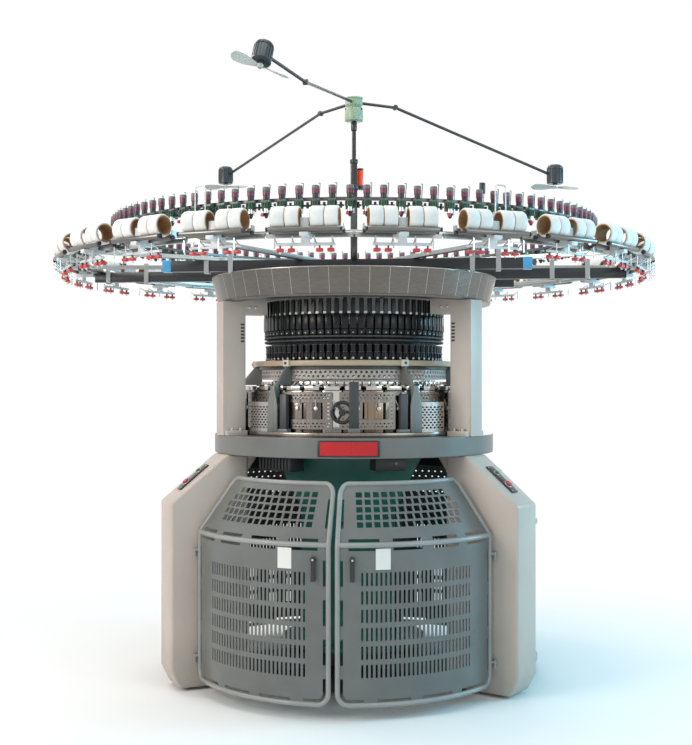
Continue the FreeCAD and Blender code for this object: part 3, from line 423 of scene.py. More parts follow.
def made_of(name, *rows):
    """Blocks, given by their limits, and rods, given by their ends, as one piece. A row opens with the
    part's name and its finish."""
    pieces = []
    for part, finish, *shape in rows:
        make = block if len(shape[0]) == 2 else rod
        pieces.append(dress(make(part, *shape), finish))
    return join(name, pieces)


def post(part, finish, x, y, heights, *rest):
    """The row of an upright rod at a place, between two heights."""
    return (part, finish, (x, y, heights[0]), (x, y, heights[1]), *rest)


def on_slope(piece, bearing):
    """Move a piece drawn on the XY plane, X down the slope and Z outwards, to a leg's slope."""
    down = (slope_foot - slope_top).normalized()
    across = Vector((0, 1, 0))
    seat = Matrix((down, across, down.cross(across))).transposed().to_4x4()
    seat.translation = (slope_top + slope_foot) / 2
    piece.data.transform(Matrix.Rotation(radians(bearing), 4, "Z") @ seat)
    return piece


black_plastic = moulded("panel_plastic", (0.020, 0.022, 0.025), 0.32)
window_glass = moulded("panel_window", (0.012, 0.020, 0.026), 0.08, 0.02)
key_plastic = moulded("panel_key", (0.30, 0.31, 0.32), 0.45)
collar_steel = bright("collar_steel", (0.62, 0.62, 0.61), 0.25)
buttons = (("start_button", -button_along, 0.0110, 0.0140, moulded("start_button", (0.02, 0.22, 0.06), 0.30)),
           ("stop_button", button_along, 0.0170, 0.0200, moulded("stop_button", (0.56, 0.030, 0.035), 0.28)))
face_parts = [("window", window_glass, (-0.020, 0.020), (-0.018, 0.006), (panel_seat, 0.0092), 0.0006)]
for x in (-0.013, 0, 0.013):
    face_parts.append(("key", key_plastic, (x - 0.0045, x + 0.0045), (0.011, 0.019), (panel_seat, 0.011),
                       0.001))
for x in (-0.086, 0.086):
    for y in (-0.019, 0.019):
        face_parts.append(post("screw", collar_steel, x, y, (panel_seat, 0.0096), 0.0036, 12, 0.0006))
for side, bearing in foot_pads[:2]:
    details = [made_of("details", *face_parts)]
    for kind, along, radius, collar, finish in buttons:
        ring = bead("collar", (along, 0, panel_face + 0.0005), collar, 0.0018, 28, 8)
        details.append(dress(ring, collar_steel))
        cap = made_of(kind + "_cap_" + side,
                      post("cap", finish, along, 0, (cap_foot, cap_foot + 0.008), radius, 32, 0.0024),
                      post("stem", finish, along, 0, (stem_foot, cap_foot + 0.001), stem_radius, 20))
        fit(on_slope(cap, bearing), kind + "_" + side, "panel_dark", kind + "_" + side)
    panel = dress(softened("panel", "control_panel_" + side, 0.0022, 3), black_plastic)
    fit(join("panel_" + side, [panel, on_slope(join("details", details), bearing)]), "root", "panel_dark",
        "control_panel_" + side)

# ------------------------------------------------------------------ bed ring and its front plate
# A turned iron ring, filled and painted grey, with a broken edge above and below. A plate bent to it closes
# the gap between the hoods: bare red enamel in a black rim. Bolts and short webs hold the legs.
bed_profile = [(0.470, 1.180), (0.750, 1.180), (0.750, 1.277), (0.590, 1.277), (0.590, 1.200),
               (0.470, 1.200)]
ring_steps = 144
front = -90.0
plate_bearing, plate_reach, plate_bow = -86.5, 0.7556, 0.1385 / 0.754
web_side = ((0.578, 1.1797), (0.700, 1.1797), (0.700, 1.085), (0.645, 1.085))
web_half = 0.092


def spun(name, profile, steps=ring_steps, closed=True):
    """Turn a (radius, height) outline all the way round the axis, as on a lathe."""
    count = len(profile)
    edges = [(step, (step + 1) % count) for step in range(count if closed else count - 1)]
    piece = edited(meshed(name, [(radius, 0, height) for radius, height in profile], edges, []),
                   (bpy.ops.mesh.spin, {"steps": steps, "angle": tau, "center": (0, 0, 0),
                                        "axis": (0, 0, 1)}),
                   (bpy.ops.mesh.remove_doubles, whole),
                   (bpy.ops.mesh.normals_make_consistent, {"inside": False}))
    return smooth(piece, 35)


def flat_ring(name, radii, heights, steps=ring_steps):
    """A turned ring of rectangular section."""
    (inner, outer), (low, high) = radii, heights
    return spun(name, [(inner, low), (outer, low), (outer, high), (inner, high)], steps)


def turned_to(piece, bearing):
    piece.data.transform(Matrix.Rotation(radians(bearing), 4, "Z"))
    return piece


def ring_of(name, piece, count, start=0.0):
    """Copies of a piece drawn on the +X side, evenly round the axis, as one piece."""
    copies = [turned_to(new_piece(name, piece.data.copy()), start + step * 360.0 / count)
              for step in range(count)]
    bpy.data.objects.remove(piece)
    return join(name, copies)


def moved(piece, x=0.0, y=0.0, z=0.0):
    piece.data.transform(Matrix.Translation((x, y, z)))
    return piece


def arc_sheet(name, radius, angles, heights, thickness):
    """An upright sheet bent round the axis through these angles."""
    points = [(radius * cos(angle), radius * sin(angle), height) for angle in angles for height in heights]
    faces = [(base, base + 2, base + 3, base + 1) for base in range(0, len(points) - 2, 2)]
    return smooth(modified(meshed(name, points, [], faces), "SOLIDIFY", thickness=thickness, offset=0.0))


bed_finish = enamel("bed_enamel", (0.150, 0.150, 0.145), 0.36, 0.10, scuff=0.10)
fit(dress(rounded(spun("bed_casting", bed_profile), 0.004, 3), bed_finish), "root", "grey_paint", "bed_ring")
rim_enamel = enamel("plate_rim_enamel", (0.012, 0.012, 0.013), 0.35, 0.05)
recast("front_plate_red", "front_plate", 0.0012, rim_enamel, "sensor_red")
bow = [(step / 12 - 0.5) * 2 * plate_bow for step in range(13)]
field = turned_to(arc_sheet("front_plate_field", plate_reach, bow, (1.196, 1.261), 0.0012), plate_bearing)
fit(dress(field, enamel("plate_enamel", (0.50, 0.006, 0.010), 0.30, 0.03)), "root", "sensor_red")

bolt_steel = bright("bolt_steel", (0.50, 0.50, 0.49), 0.30)


def hex_bolt(x, y, z, size, height):
    """Hexagon head with a chamfered top on a washer, standing on a face."""
    return made_of("bolt", post("head", bolt_steel, x, y, (z, z + height), size, 6, 0.0008),
                   post("washer", bolt_steel, x, y, (z - 0.0005, z + 0.0018), size * 1.35, 18, 0.0004))


webs = []
under_bolts = []
for side, bearing in foot_pads:
    corners = [(reach, across, height) for across in (-web_half, web_half) for reach, height in web_side]
    faces = [(0, 1, 2, 3), (7, 6, 5, 4), (0, 4, 5, 1), (1, 5, 6, 2), (2, 6, 7, 3), (3, 7, 4, 0)]
    web = edited(meshed("web", corners, [], faces), (bpy.ops.mesh.normals_make_consistent, {"inside": False}))
    webs.append(turned_to(rounded(web, 0.008, 3), bearing))
    for along in (-0.07, 0.07):
        under_bolts.append(turned_to(hex_bolt(0.735, along, 1.277, 0.008, 0.006), bearing))
fit(dress(join("leg_webs", webs), leg_finish), "root", "cream_paint")
fit(join("bed_bolts", under_bolts), "root", "cast_iron")

# Two dark boxes hang under the ring beside the front legs, one with cooling ribs and one with a pale lamp.
# A dark strip, painted shade, closes the gap between the ring and the guards of the two rear bays.
box_enamel = enamel("box_enamel", (0.030, 0.032, 0.034), 0.42, 0.12)
ribs = [("rib", box_enamel, (0.598, 0.606), (across - 0.004, across + 0.004), (1.112, 1.168), 0.001, 1)
        for across in [-0.094 + rib * 0.0235 for rib in range(9)]]
rib_box = made_of("rib_box", ("box", box_enamel, (0.500, 0.600), (-0.112, 0.118), (1.100, 1.179), 0.006),
                  *ribs)
lamp_box = made_of("lamp_box", ("box", box_enamel, (0.500, 0.590), (-0.080, 0.082), (1.108, 1.179), 0.006),
                   ("dot", key_plastic, (0.589, 0.028, 1.146), (0.5935, 0.028, 1.146), 0.0070, 14))
# The strip's dark enamel is painted shade under the ring in the two rear bays.
around = [radians(-14.0 + step * 4.0) for step in range(52)]
strip = dress(arc_sheet("strip", 0.622, around, (1.068, 1.1795), 0.003), box_enamel)
under_boxes = join("under_boxes", [turned_to(rib_box, -127.0), turned_to(lamp_box, -66.5), strip])
fit(under_boxes, "root", "panel_dark")

# ------------------------------------------------------------------ needle cylinder and its gear
# A ground steel cylinder on a toothed ring that runs on the bed's ledge. Hundreds of fine vertical needle
# tricks are cut in its wall, bright between grooves painted dark as the shade in them.
cylinder_profile = [(0.415, 1.2003), (0.500, 1.2003), (0.500, 1.2383), (0.440, 1.2383), (0.440, 1.560),
                    (0.415, 1.560)]
tricks_per_radian, trick_foot = 180.0, 1.245


def round_the_axis(finish):
    """Bearing in radians, distance from the axis and height, each as a number on a wire."""
    x, y, z = finish.split(finish.node("ShaderNodeTexCoord", output="Object"))
    bearing = finish.node("ShaderNodeMath", {"operation": "ARCTAN2"}, {0: y, 1: x})
    return bearing, finish.node("ShaderNodeMath", {"operation": "SQRT"}, {0: x * x + y * y}), z


def brushed(name, colour, roughness, fine, stain=0.15, groove=0.10):
    """Grain that follows the ring: fine sets how fast it changes round the axis, outwards and upwards."""
    made = Finish(name)
    course = made.node("ShaderNodeCombineXYZ", None,
                       {number: wire * fine[number] for number, wire in enumerate(round_the_axis(made))})
    line = made.node("ShaderNodeTexNoise", None, {"Vector": course, "Scale": 1.0, "Detail": 3.0})
    shade = made.cloudy(6.0, 4.0, colour, 1 - stain, 1)
    streak = made.ramp(line, (0.35, paler(colour, 0.80)), (0.65, paler(colour, 1.08)))
    return made.set(base_color=made.mix(0.5, shade, streak), metallic=1.0,
                    roughness=line * 0.18 + (roughness - 0.09), normal=made.bump(line, groove, 0.0005))


cylinder_steel = Finish("cylinder_steel")
bearing, reach, height = round_the_axis(cylinder_steel)
# The mask named wall marks the grooves; their dark colour is painted shade.
wall = (height > trick_foot) * ((bearing * tricks_per_radian) % 1.0 > 0.5)
cylinder_steel.set(base_color=cylinder_steel.mix(wall, (0.66, 0.64, 0.62), (0.10, 0.098, 0.095)),
                   metallic=1.0, roughness=cylinder_steel.noise(60.0) * 0.1 + 0.22,
                   normal=cylinder_steel.bump(wall, 0.4, 0.001))
drum = rounded(spun("needle_drum", cylinder_profile, 180), 0.0015, 2)
fit(dress(drum, cylinder_steel), "cylinder", "stainless", "needle_cylinder")

# ------------------------------------------------------------------ take-down frame and rollers
# Two teal plates on a turntable turn with the fabric. The nip rollers have rubber sleeves with a fine
# spiral land, and the batch roller is a plain aluminium tube between painted flanges.
teal_enamel = enamel("teal_enamel", (0.010, 0.150, 0.118), 0.34, 0.16, scuff=0.15)
recast("take_down_casting", "take_down_frame", 0.004, teal_enamel, "take_down_teal", body="cylinder")
barrel_half, journal_end, journal_radius = 0.299, 0.325, 0.012
rubber = Finish("roller_sleeve")
land = rubber.noise(300.0, 2.0, (0.2, 1, 1))
rubber.set(base_color=rubber.ramp(land, (0.4, (0.018, 0.018, 0.019)), (0.6, (0.045, 0.045, 0.046))),
           roughness=land * 0.2 + 0.5, normal=rubber.bump(land, 0.4, 0.0008))
tube_metal = bright("batch_tube", (0.62, 0.63, 0.64), 0.32, (1, 0.05, 1))


def laid(piece, x, y, z):
    """Lay a piece that was turned about the upright axis along Y, at its place."""
    piece.data.transform(Matrix.Translation((x, y, z)) @ Matrix.Rotation(radians(90), 4, "X"))
    return piece


for name, node, body, slot, finish, (x, z), radius, flange in (
        ("nip_sleeve_front", "nip_roller_front", "nip_front", "stainless", rubber,
         (-0.0323, 0.82), 0.032, 0.028),
        ("nip_sleeve_back", "nip_roller_back", "nip_back", "stainless", rubber, (0.0323, 0.82), 0.032, 0.028),
        ("batch_tube", "batch_roller", "batch", "batch_steel", tube_metal, (0.0, 0.42), 0.083, 0.095)):
    end = [(radius, barrel_half - 0.016), (flange, barrel_half - 0.012), (flange, barrel_half),
           (journal_radius, barrel_half), (journal_radius, journal_end), (0, journal_end)]
    outline = [(reach, -height) for reach, height in reversed(end)] + end
    fit(dress(laid(spun(name, outline, 40, closed=False), x, 0, z), finish), body, slot, node)

# ------------------------------------------------------------------ drive motor, shaft and pinion
# The motor stands on a shelf of the rear leg: a finned aluminium body, sprayed dark grey, between end
# shields with bolted lugs. Its shaft carries the pinion that turns the gear ring.
shaft_y, motor_foot, motor_radius = 0.5448, 0.380, 0.088
shell_outline = [(0, 0), (motor_radius, 0), (motor_radius, 0.030), (0.078, 0.034), (0.078, 0.262),
                 (motor_radius, 0.266), (motor_radius, 0.292), (0.060, 0.300), (0, 0.300)]
pinion_low, pinion_high = 1.2033, 1.2353
motor_paint = enamel("motor_enamel", (0.045, 0.055, 0.060), 0.40, 0.12)
fins = ring_of("fins", block("fin", (0.077, 0.0865), (-0.0012, 0.0012), (0.036, 0.260)), 36)
terminals = block("terminal_box", (-0.085, -0.060), (-0.035, 0.035), (0.120, 0.210), 0.006, 3)
motor = join("motor_body", [spun("shell", shell_outline, 40, closed=False), fins, terminals])
fit(dress(moved(motor, 0, shaft_y, motor_foot), motor_paint), "root", "motor_grey", "drive_motor")
tooth = block("tooth", (0.040, 0.0444), (-0.0028, 0.0028), (pinion_low, pinion_high), 0.0008, 1)
shaft = join("drive_pinion", [rod("stem", (0, 0, 0.6805), (0, 0, 1.2383), 0.014, 24),
                              flat_ring("hub", (0.013, 0.041), (pinion_low, pinion_high), 40),
                              ring_of("teeth", tooth, 24)])
fit(dress(moved(shaft, 0, shaft_y), bright("ground_steel", (0.56, 0.55, 0.53), 0.25)), "drive", "stainless",
    "drive_shaft")

# ------------------------------------------------------------------ gate frames
# Each gate is a frame of bent and welded round tube with rounded corners: one loop round the gate and a
# bow across it at the knee, where the gate turns from upright to leaning in. Grey enamel.
gate_centre = 0.205          # how far the gates' own axis stands in front of the machine's
gate_shell = 0.8025          # radius to the middle of the tubes
gate_top_shell = 0.6125
gate_foot, gate_knee, gate_top = 0.0725, 0.8025, 1.0675
tube_radius = 0.0118
gate_angle = radians(64.47)
gate_edge = 0.0205           # middle of the front tube, along the bow from the gap
gate_end = gate_angle * gate_shell - 0.0125
corner_radius, corner_steps = 0.052, 7
bow_step = 0.022
cone_fall = (gate_shell - gate_top_shell) / (gate_top - gate_knee)
cone_lean = atan(cone_fall)
hinge_heights, hinge_orbit, hinge_radius = (0.170, 0.700), 0.827, 0.009


def on_gate(along, out, height):
    """Roll a point of the flat gate on to the right-hand gate: upright to the knee, then leaning in."""
    radius, lean = gate_shell, 0.0
    if height > gate_knee:
        radius -= (height - gate_knee) * cone_fall
        lean = cone_lean
    radius += out * cos(lean)
    return beside_gate(radius, along / gate_shell, height + out * sin(lean))


def beside_gate(orbit, angle, height):
    """Point at an angle from the front about the gates' own axis, on the right-hand side."""
    return Vector((orbit * sin(angle), -gate_centre - orbit * cos(angle), height))


def round_corners(corners):
    """Points of a closed flat outline from its (x, y, radius) corners, with each corner an arc."""
    points = []
    for number, (x, y, radius) in enumerate(corners):
        here = Vector((x, y))
        if radius == 0:
            points.append(here)
            continue
        before = (Vector(corners[number - 1][:2]) - here).normalized()
        after = (Vector(corners[(number + 1) % len(corners)][:2]) - here).normalized()
        half = before.angle(after) / 2
        middle = here + (before + after).normalized() * (radius / sin(half))
        start, end = [(here + arm * (radius / tan(half)) - middle).normalized() for arm in (before, after)]
        points += [middle + start.slerp(end, step / corner_steps) * radius
                   for step in range(corner_steps + 1)]
    return points


def gate_outline(foot, head):
    """The flat gate between two heights, rounded at its own foot and top and square at the knee."""
    low = corner_radius if foot == gate_foot else 0
    high = corner_radius if head == gate_top else 0
    return round_corners([(gate_edge, foot, low), (gate_end, foot, low), (gate_end, head, high * 0.8),
                          (gate_edge, head, high)])


def tube(name, points, radius, closed=False):
    """A round tube along a line of points, as a mesh."""
    line = bpy.data.curves.new(name, "CURVE")
    line.dimensions = "3D"
    line.bevel_depth = radius
    line.bevel_resolution = 3
    line.use_fill_caps = not closed
    return curve_mesh(name, line, [[(*place, 1.0) for place in points]], closed)


def curve_mesh(name, curve, rings, closed):
    """Run a curve through each ring of points and turn it into a mesh."""
    for ring in rings:
        spline = curve.splines.new("POLY")
        spline.points.add(len(ring) - 1)
        for point, place in zip(spline.points, ring):
            point.co = place
        spline.use_cyclic_u = closed
    pick(new_piece(name, curve))
    bpy.ops.object.convert(target="MESH")
    return bpy.context.object


def gate_tube(name, points, closed):
    """A tube along a line of the flat gate, cut short enough to follow the bow."""
    shown = []
    for here, there in zip(points, points[1:] + points[:1] if closed else points[1:]):
        pieces = max(1, ceil((there - here).length / bow_step))
        shown += [here.lerp(there, piece / pieces) for piece in range(pieces)]
    if not closed:
        shown.append(points[-1])
    return tube(name, [on_gate(point.x, 0.0, point.y) for point in shown], tube_radius, closed)


def other_side(piece, name):
    """A copy mirrored to the left, with its own mesh and its faces turned outwards again."""
    copy = new_piece(name, piece.data.copy())
    copy.data.transform(Matrix.Scale(-1, 4, (1, 0, 0)))
    copy.data.flip_normals()
    return copy


def hang(name, piece, slot, *replaced):
    """Fit the right-hand gate's piece and its mirrored copy on the left-hand gate."""
    piece.name = name + "_right"
    for side, shown in (("right", piece), ("left", other_side(piece, name + "_left"))):
        fit(shown, "gate_" + side, slot, *[node + "_" + side for node in replaced])


tube_enamel = enamel("tube_enamel", (0.300, 0.303, 0.293), 0.34, 0.10)
knee_ends = [Vector((gate_edge, gate_knee)), Vector((gate_end, gate_knee))]
tubes = join("tubes", [gate_tube("loop", gate_outline(gate_foot, gate_top), True),
                       gate_tube("bow", knee_ends, False)])
dress(smooth(tubes, 50), tube_enamel)
barrels = []
for height in hinge_heights:
    foot, head, middle = [beside_gate(hinge_orbit, gate_angle, height + rise)
                          for rise in (0.0003, 0.0203, 0.0103)]
    weld = beside_gate(gate_shell, gate_angle - radians(0.8), height + 0.0103)
    barrels += [rod("barrel", foot, head, hinge_radius, 20, 0.001),
                rod("weld", middle, weld, hinge_radius * 0.8, 10)]
gate_tubes = join("gate_tubes", [new_piece("gate_tubes", tubes.data.copy())] + barrels)
hang("gate_tubes", dress(gate_tubes, tube_enamel), "grey_paint", "gate_frame")

# ------------------------------------------------------------------ gate sheets
# Steel sheet, punched flat, rolled to the bow and welded to the tubes by short tabs, with long slots
# between the tabs. The lower sheet has six rows of upright slots, the leaning one has square holes.
sheet_thickness = 0.002
slot_columns, slot_rows = 27, 6
slot_pitch = radians(41.0) * gate_shell / (slot_columns - 1)
slot_start = radians(9.6) * gate_shell
slot_width, slot_height = 0.0098, 0.060
slot_foot, slot_row_pitch = 0.197, 0.084
square_size, square_pitch = 0.029, 0.0405
square_foot, square_row_pitch = 0.888, 0.0325
square_start = radians(9.2) * gate_shell
square_ends = (14, 14, 14, 13, 12)
border, border_width = tube_radius + 0.001, 0.013
tab, border_slot = 0.062, 0.150
inset = border + border_width / 2
inner_foot, inner_edge, inner_end = gate_foot + inset, gate_edge + inset, gate_end - inset
clear = corner_radius * 0.75
foot_low, edge_low = gate_foot + border, gate_edge + border
arm_head, arm_end = inner_foot + 0.100, inner_edge + 0.100
bend = corner_radius - tube_radius
corner_slot = round_corners([
    (edge_low, arm_head, 0), (edge_low, foot_low, bend), (arm_end, foot_low, 0),
    (arm_end, foot_low + border_width, 0),
    (edge_low + border_width, foot_low + border_width, bend - border_width),
    (edge_low + border_width, arm_head, 0)])
sheet_finish = enamel("sheet_enamel", (0.145, 0.151, 0.146), 0.31, 0.14, scuff=0.10)


def flat_sheet(name, outline, holes, thickness, step):
    """Fill a flat outline with its holes left open, and cut it across X every step, to be rolled."""
    shape = bpy.data.curves.new(name, "CURVE")
    shape.dimensions = "2D"
    shape.fill_mode = "BOTH"
    shape.extrude = thickness / 2
    rings = [[(point[0], point[1], 0.0, 1.0) for point in ring] for ring in [outline] + holes]
    sheet = edited(curve_mesh(name, shape, rings, True), (bpy.ops.mesh.remove_doubles, whole))
    low, high = [limit(vertex.co.x for vertex in sheet.data.vertices) for limit in (min, max)]
    cuts = [{"plane_co": (low + number * step, 0, 0), "plane_no": (1, 0, 0)}
            for number in range(1, int((high - low) / step) + 1)]
    return edited(sheet, *[(bpy.ops.mesh.bisect, cut) for cut in cuts])


def rectangle(x, y, width, height):
    """Corners of an upright hole from its middle."""
    return [(x - width / 2, y - height / 2), (x + width / 2, y - height / 2),
            (x + width / 2, y + height / 2), (x - width / 2, y + height / 2)]


def border_slots(start, end, fixed, along):
    """The long slots beside a tube, between its tabs: along the bow or up the gate."""
    count = max(1, round((end - start) / (border_slot + tab)))
    pitch = (end - start) / count
    middles = [start + (number + 0.5) * pitch for number in range(count)]
    if along:
        return [rectangle(middle, fixed, pitch - tab, border_width) for middle in middles]
    return [rectangle(fixed, middle, border_width, pitch - tab) for middle in middles]


def knee_slots(height):
    return border_slots(gate_edge + clear / 2, gate_end - clear / 2, height, True)


def gate_sheet(name, foot, head, holes):
    """Punch the flat sheet, roll it to the gate and paint it."""
    sheet = flat_sheet(name, gate_outline(foot, head), holes, sheet_thickness, bow_step)
    for vertex in sheet.data.vertices:
        vertex.co = on_gate(vertex.co.x, vertex.co.z, vertex.co.y)
    return dress(smooth(sheet, 25), sheet_finish)


def lower_sheet(name, width, more):
    """The upright sheet, with six rows of slots."""
    holes = [rectangle(slot_start + column * slot_pitch, slot_foot + row * slot_row_pitch + slot_height / 2,
                       width, slot_height) for row in range(slot_rows) for column in range(slot_columns)]
    holes += [corner_slot] + border_slots(arm_end + tab / 2, gate_end - clear, inner_foot, True) + more
    holes += border_slots(arm_head + tab / 2, gate_knee - clear, inner_edge, False)
    holes += border_slots(gate_foot + clear, gate_knee - clear, inner_end, False)
    return gate_sheet(name, gate_foot, gate_knee, holes)


def upper_sheet(name, square, more):
    """The leaning sheet, with five rows of square holes that spread as the cone does."""
    holes = []
    for row, count in enumerate(square_ends):
        height = square_foot + row * square_row_pitch
        spread = gate_shell / (gate_shell - (height - gate_knee) * cone_fall)
        holes += [rectangle(square_start + column * square_pitch * spread, height, square * spread,
                            square * cos(cone_lean)) for column in range(count)]
    holes += more + border_slots(gate_knee + clear, gate_top - clear, inner_edge, False)
    return gate_sheet(name, gate_knee, gate_top, holes)


panel = lower_sheet("gate_sheet", slot_width, knee_slots(gate_knee - inset))
hood = upper_sheet("gate_hood_sheet", square_size, knee_slots(gate_knee + inset))
hang("gate_sheet", panel, "gate_sheet", "gate_panel")
hang("gate_hood_sheet", hood, "gate_sheet", "gate_hood")

# ------------------------------------------------------------------ guards of the two rear bays
# The bays behind the legs are closed by welded halves like the gates, with narrower openings, fixed to the
# legs' sides by short lugs.
rear_slot, rear_square = 0.0036, 0.0100
side_normal = Vector((cos(radians(-120)), sin(radians(-120)), 0))
leg_half, lug_angle = 0.100, gate_angle - 0.0125 / 0.815
lugs = []
for height in hinge_heights:
    place = beside_gate(gate_shell - 0.006, lug_angle, height)
    lugs.append(rod("lug", place, place - side_normal * (place.dot(side_normal) - leg_half), 0.0060, 12))
half_guard = join("half_guard", [lower_sheet("half_guard", rear_slot, []),
                                 upper_sheet("half_guard", rear_square, []), tubes,
                                 dress(join("lugs", lugs), tube_enamel)])
for side, bay in (("right", 30.0), ("left", 150.0)):
    near = new_piece("guard_sheets_" + side, half_guard.data.copy())
    guard = join("guard_sheets_" + side, [near, other_side(near, "far")])
    fit(turned_to(guard, bay - front), "root", "gate_sheet", "rear_guard_" + side)
bpy.data.objects.remove(half_guard)

# ------------------------------------------------------------------ gate handles, plates and hinges
# Each gate has a black moulded pull near its front edge, on two feet, with a bright screw at its head,
# and beside it a blank off-white plate. The pins' halves of the hinges are welded to the legs.
pull_bearing, pull_foot, pull_head = 6.36, 0.637, 0.751
head_boss, foot_boss = pull_head - 0.014, pull_foot + 0.009
sheet_face = 0.8036
label_bearing = 16.5
plate_white = enamel("blank_plate_enamel", (0.80, 0.77, 0.74), 0.40, 0.03)
pull = made_of(
    "gate_pull",
    ("grip", black_plastic, (0.815, 0.824), (-0.0105, 0.0105), (pull_foot, pull_head), 0.0042, 3),
    ("boss", black_plastic, (sheet_face, 0, head_boss), (0.8262, 0, head_boss), 0.013, 20, 0.003),
    ("boss", black_plastic, (sheet_face, 0, foot_boss), (0.820, 0, foot_boss), 0.0095, 16, 0.002),
    ("screw", collar_steel, (0.8258, 0, head_boss), (0.8272, 0, head_boss), 0.0048, 12))
card = dress(block("card", (0.8032, 0.8044), (-0.035, 0.035), (0.690, 0.786), 0.0004, 1), plate_white)
pull = moved(turned_to(pull, front + pull_bearing), 0, -gate_centre)
hang("gate_pull", pull, "feeder_black", "gate_handle")
hang("gate_plate", moved(turned_to(card, front + label_bearing), 0, -gate_centre), "gate_sheet")
recast("hinge_pins", "gate_hinges", 0.0008, tube_enamel, "grey_paint", 1)

# ------------------------------------------------------------------ columns
# Three upright castings, bolted to the bed and sprayed cream like the legs. Each has a row of louvres near
# its inner edge, drawn as strips painted dark as their shade, and carries a bracket under the top ring.
column_finish = enamel("column_enamel", paler(leg_cream, 0.98), 0.40, 0.05)
# Dark plastic: painted shade in the louvres and behind the punched guards, and the feeder belts' own colour.
shadow_and_belt_dark = moulded("painted_shadow_and_belt", (0.035, 0.036, 0.036), 0.6)
bracket_foot, bracket_low, bracket_cut = 1.900, 1.930, 0.075
louvre_foot, louvre_pitch, louvre_count = 1.756, 0.0172, 6
columns = softened("column_castings", "columns", 0.005, 3)
fittings = []
for side, bearing in foot_pads:
    seat = Matrix.Rotation(radians(-bearing), 4, "Z")
    for vertex in columns.data.vertices:
        place = seat @ vertex.co
        if 0.40 < place.x < 0.6405 and abs(place.y) < 0.06 and 1.84 < place.z < 1.94:
            vertex.co.z = bracket_foot + max(0.0, place.z - bracket_low)
        if 0.40 < place.x < 0.50 and place.z > 1.85:
            vertex.co = seat.inverted() @ Vector((place.x + bracket_cut, place.y, vertex.co.z))
    for face in (-1, 1):
        edges = sorted((face * 0.052, face * 0.0562))
        # Each louvre opening is a dark strip: painted shade.
        rows = [("louvre", shadow_and_belt_dark, (0.646, 0.666), edges, (base, base + 0.0095), 0.001, 1)
                for base in [louvre_foot + step * louvre_pitch for step in range(louvre_count)]]
        rows += [("bolt", bolt_steel, (reach, face * 0.050, 1.936), (reach, face * 0.0585, 1.936), 0.0085, 6,
                  0.0008) for reach in (0.585, 0.620)]
        bolts = [hex_bolt(reach, face * 0.071, 1.302, 0.0098, 0.0132) for reach in (0.672, 0.718)]
        fittings.append(turned_to(join("fittings", [made_of("fittings", *rows)] + bolts), bearing))
fit(dress(columns, column_finish), "root", "cream_paint", "columns")
fit(join("column_fittings", fittings), "root", "cast_iron")

# ------------------------------------------------------------------ cam plate and cam boxes
# The cam plate is a ground ring. On it stand polished steel boxes, one to two feeders, each with an
# adjusting screw, a lever and a bright lid, and in front of them punched guard frames with oval holes.
cam_inner, cam_outer, cam_foot, cam_head = 0.446, 0.596, 1.300, 1.530
cam_count = 36
order = (0, 1, 3, 0, 2, 1, 0, 3, 1, 2, 0, 1)
steels = (((0.25, 0.222, 0.198), 0.20), ((0.120, 0.107, 0.095), 0.26), ((0.260, 0.205, 0.150), 0.22),
          ((0.56, 0.545, 0.52), 0.16))
polished = [brushed("cam_steel_" + str(number), colour, roughness, (160.0, 4.0, 2.0), 0.30)
            for number, (colour, roughness) in enumerate(steels)]
recast("cam_plate_ground", "cam_plate", 0.003, polished[0], "cast_iron")
wide = 2 * cam_outer * tan(pi / cam_count) - 0.005
half = wide / 2
screw_along, screw_level = wide * 0.24, 1.418
boxes = []
for number in range(cam_count):
    lever_along = wide * (0.24 - 0.2 * (number % 3 - 1))
    box = made_of("box",
                  ("body", polished[order[number % 12]], (cam_inner + 0.05, cam_outer - 0.004),
                   (0.002 - half, half - 0.002), (cam_foot, cam_head - 0.022), 0.003),
                  ("lid", polished[3], (cam_inner, cam_outer + 0.003), (0.0105 - half, half - 0.0105),
                   (cam_head - 0.020, cam_head), 0.002),
                  ("slide", polished[order[(number + 5) % 12]], (cam_outer - 0.006, cam_outer),
                   (-wide * 0.32, wide * 0.02), (cam_foot + 0.022, cam_head - 0.040), 0.002, 1),
                  ("screw", bolt_steel, (cam_outer - 0.006, screw_along, screw_level),
                   (cam_outer + 0.009, screw_along, screw_level), 0.0105, 14, 0.001),
                  ("lever", bolt_steel, (cam_outer + 0.004, screw_along, screw_level),
                   (cam_outer + 0.008, lever_along, 1.462), 0.003, 8))
    boxes.append(turned_to(box, (number + 0.5) * 360 / cam_count))
fit(join("cam_box_set", boxes), "root", "stainless", "cam_boxes")


def oval(x, y, width, height, sides=8):
    """Points of an oval hole about a middle."""
    return [(x + width / 2 * cos(step * tau / sides), y + height / 2 * sin(step * tau / sides))
            for step in range(sides)]


def bent_sheets(name, half, heights, holes, thickness, step, radius, bearings):
    """Punched sheets, each rolled on to a cylinder about the machine's axis, one at each bearing."""
    low, high = heights
    outline = [(-half, low), (half, low), (half, high), (-half, high)]
    sheets = []
    for bearing in bearings:
        sheet = flat_sheet(name, outline, holes, thickness, step)
        for vertex in sheet.data.vertices:
            angle = radians(bearing) + vertex.co.x / radius
            reach = radius - vertex.co.z
            vertex.co = Vector((reach * cos(angle), reach * sin(angle), vertex.co.y))
        sheet.data.flip_normals()
        sheets.append(sheet)
    return smooth(join(name, sheets), 30)


